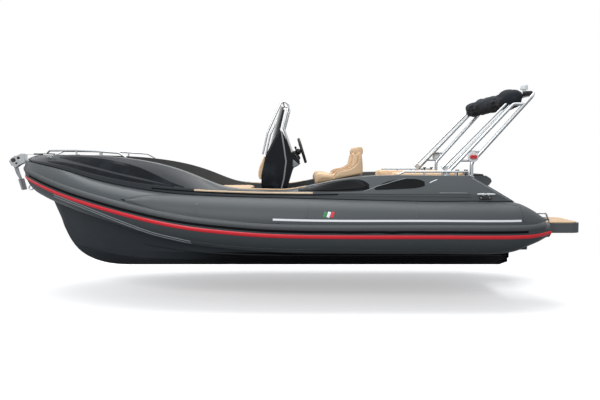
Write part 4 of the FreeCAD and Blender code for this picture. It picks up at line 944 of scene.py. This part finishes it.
# The stern backrest's pad: black vinyl over thin foam on top of the grey shell, sewn across in four
# panels.
black_vinyl = Finish("black_vinyl", (30, 32, 36), Roughness=0.55)
black_vinyl.bump(black_vinyl.node("ShaderNodeTexVoronoi", {0: black_vinyl.place(), "Scale": 380.0}),
                 0.0006, 0.4)
thin_low, thin_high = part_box("backrest_pad")
outline = [(thin_low.x, thin_low.y), (thin_high.x, thin_low.y), (thin_high.x, thin_high.y),
           (thin_low.x, thin_high.y)]
thin = stuffed("stern_backrest_pad", outline, thin_low.z, thin_high.z, 2, finish=black_vinyl,
               voxel=0.006, soften=2, cap=0.004, seams=seams_at(1, (-0.26, 0, 0.26)))
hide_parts("backrest_pad")

# The folded cover: black cloth rolled with its canopy round the two top bows, tied by two straps,
# so that it gathers at the ties, bulges at its ends and creases slantwise between them.
cloth = Finish("cover_cloth", Roughness=0.85, Specular_IOR_Level=0.25)
cloth.shade(cloth.noise(5.0, 2.0), (24, 28, 33), (39, 44, 50)).grain(14.0, 0.003, 1.0, 0.5)
cover_low, cover_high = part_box("bimini_cover")
roll_middle = (cover_low + cover_high) / 2
along_roll = np.linspace(-1, 1, 420)
y = along_roll * (cover_high.y - 0.004)
turn = full_turn(150)[None, :]
ties = (-0.47, 0.45)
from_tie = np.min([np.abs(y - tie) for tie in ties], axis=0)
pinch = 1 - 0.20 * np.exp(-(from_tie / 0.022) ** 2) - 0.10 * np.exp(-(from_tie / 0.11) ** 2)
rounded = np.sqrt(np.clip(1 - np.abs(along_roll) ** 26, 0, 1))
Y = y[:, None]
gather = np.exp(-from_tie / 0.075)[:, None]
folds = (0.055 * gather * np.sin(9 * turn + 1.6 * np.sin(2 * turn) + Y * 4)
         + 0.045 * np.sin(2 * turn + Y * 8.0 + 0.6) * np.sin(Y * 5.3 + 0.4)
         + 0.055 * np.abs(np.sin(2 * turn + Y * 9.0 + 1.4 * np.sin(Y * 5)))
         + 0.030 * np.abs(np.sin(3 * turn - Y * 12.0 + 1.1 * np.sin(Y * 7)))
         + 0.014 * np.sin(5 * turn - Y * 14.0 + 1.7 * np.sin(Y * 4.1)))
drape = 1 - 0.10 * np.sin(turn) ** 2 * (np.sin(turn) > 0) + 0.05 * np.cos(turn - 0.6)
stout = (0.100 + 0.014 * np.exp(-((y + 0.70) / 0.15) ** 2)
         - 0.006 * np.exp(-((y - 0.80) / 0.2) ** 2))
radius = (stout * pinch * rounded)[:, None] * drape * (0.92 + 1.35 * folds)


def wrapped(radius, turn, y, at):
    """Points at a radius and turn about the roll's middle line at y: an ellipse, wider than high,
    whose middle rises and falls as sin(6 at)."""
    return np.stack([roll_middle.x + 0.002 + radius * np.cos(turn) * 1.03,
                     np.broadcast_to(y, radius.shape),
                     roll_middle.z + radius * np.sin(turn) * 0.97 + 0.004 * np.sin(at * 6)], -1)


cover = add_piece("cover_roll", skin("cover_roll", wrapped(radius, turn, Y, Y)), cloth, "bimini")
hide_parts("bimini_cover")
webbing = Finish("tie_webbing", Roughness=0.7).mottle(60.0, (16, 18, 21), (24, 27, 31))
webbing.bump(webbing.node("ShaderNodeTexWave", {0: webbing.place(), "Scale": 420.0}, out=1), 0.0006,
             0.6)
profile = np.array([(-0.013, -0.003), (-0.013, 0.001), (-0.009, 0.0025), (0.009, 0.0025),
                    (0.013, 0.001), (0.013, -0.003)])
for index, tie in enumerate(ties):
    nearest = np.abs(y - tie).argmin()
    around = full_turn(60)
    rim = np.interp(around, turn[0], radius[nearest], period=2 * np.pi) + 0.002
    band = wrapped(rim[:, None] + profile[None, :, 1], around[:, None],
                   y[nearest] + profile[None, :, 0], y[nearest])
    name = "cover_tie_%d" % index
    add_piece(name, skin(name, np.concatenate([band, band[:1]]), lids=False), webbing, "bimini")

# The lights: a red and a green side light on the braces, each on a pale base, an all-round light
# under a white dome on the bar, and a small black box beside it.
green = Finish("green_lens", (22, 120, 66), Roughness=0.12).grain(160.0, 0.0004)
lens = Finish("red_lens", (196, 24, 34), Roughness=0.12).grain(160.0, 0.0004)
dome = Finish("white_dome", (228, 231, 233), Roughness=0.3).grain(60.0, 0.0003)
light_body = Finish("light_body", (222, 225, 227), Roughness=0.35).grain(120.0, 0.0003)
dress(lens, "nav_light_port")
dress(green, "nav_light_starboard")
dress(dome, "anchor_light")
for side, word in sides.items():
    low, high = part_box("nav_light_" + word)
    plate("light_base_" + word, ((low.x + high.x) / 2, side * (bar_foot_y + 0.0115),
                                 (low.z + high.z) / 2),
          (0.108, 0.104, 0.012), light_body, (0, side, 0), corner=2.1)
plate("bar_box", (2.306, -0.840, 1.497), (0.088, 0.070, 0.046), plastic, corner=5, lip=0.010,
      dome=0.002)

# The bow and stern fittings: a hatch over the anchor locker, treads on the step, thin black plates
# of painted shade in the openings of the roller's cheeks, cleat bases, towing eyes, a drain and a
# plate on the transom, and a hatch, a rubber trim and bolts on each platform.
hatch_grey = Finish("hatch_gelcoat", (84, 89, 92), Roughness=0.35).grain(420.0, 0.0006, 2.0, 0.6)
bow_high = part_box("bow_deck")[1]
plate("bow_hatch", (-2.645, 0, bow_high.z), (0.30, 0.34, 0.010), hatch_grey, corner=7, lip=0.004,
      dome=0.003)
plate("bow_hatch_latch", (-2.535, 0, bow_high.z + 0.0115), (0.030, 0.046, 0.005), bezel, corner=3,
      lip=0.0015)
studs("bow_hatch_hinges", [(-2.782, y, bow_high.z + 0.009) for y in (-0.12, -0.09, 0.09, 0.12)],
      (0, 0, 1), steel, 0.008, 0.004)
step_low, step_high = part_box("bow_step")
for index, x in enumerate((step_low.x + 0.115, step_low.x + 0.145)):
    plate("bow_step_tread_%d" % index, (x, 0, step_high.z), (0.014, 0.150, 0.002), rubber,
          corner=10, lip=0.0008)
# Painted shade: a thin black plate stands in each opening of the roller's cheeks.
opening_shades = ((-3.262, 0.842, 0.050, 0.046), (-3.205, 0.868, 0.034, 0.030),
           (-3.228, 0.806, 0.028, 0.022))
for side, word in sides.items():
    for index, (x, z, wide, high) in enumerate(opening_shades):
        plate("roller_cutout_%d_%s" % (index, word), (x, side * 0.0398, z), (wide, high, 0.0012),
              plastic, (0, side, 0), (0.95, 0, 0.3), 3, 0.0004)
    studs("roller_bolts_" + word, [(-3.292, side * 0.040, 0.858), (-3.19, side * 0.040, 0.838),
                                   (-3.245, side * 0.042, 0.890)], (0, side, 0), steel, 0.007,
          0.004)
    cleat_at = np.array(struck(decks, side, 1.845, 0.470)[0])
    plate("stern_cleat_base_" + word, cleat_at, (0.125, 0.034, 0.016), plastic, (0, side, 0.05),
          corner=3, lip=0.005)
    studs("stern_cleat_bolts_" + word, [cleat_at + (x, side * 0.016, 0) for x in (-0.045, 0.045)],
          (0, side, 0), steel, 0.005, 0.003)
transom_x = 2.3002
for index, y in enumerate((-0.23, 0.23)):
    bend = finely([(2.300, y, 0.07), (2.332, y, 0.07), (2.352, y, 0.085), (2.352, y, 0.115),
                   (2.332, y, 0.13), (2.300, y, 0.13)], 30)
    sweep("towing_eye_%d" % index, bend, 0.006, steel, 12)
    plate("towing_eye_plate_%d" % index, (transom_x, y, 0.10), (0.10, 0.05, 0.004), steel,
          (1, 0, 0), (0, 0, 1), 3, 0.0015)
plate("transom_drain", (transom_x, 0, -0.19), (0.046, 0.046, 0.008), bezel, (1, 0, 0), (0, 0, 1), 2,
      0.003, 0.002)
plate("transom_pad", (transom_x, 0, 0.20), (0.09, 0.42, 0.004), galvanised, (1, 0, 0), (0, 0, 1),
      10, 0.0015)
for side, word in sides.items():
    teak_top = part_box("platform_teak")[1].z
    plate("platform_hatch_" + word, (2.575, side * 0.42, teak_top), (0.24, 0.11, 0.005), hatch_grey,
          lip=0.002)
    plate("platform_trim_" + word, (2.8502, side * 0.62, 0.160), (0.030, 0.42, 0.006), rubber,
          (1, 0, 0), (0, 0, 1), 9)
    studs("platform_bolts_" + word, [(2.345, side * y, 0.2105) for y in (0.34, 0.36)], (0, 0, 1),
          steel, 0.004, 0.002)
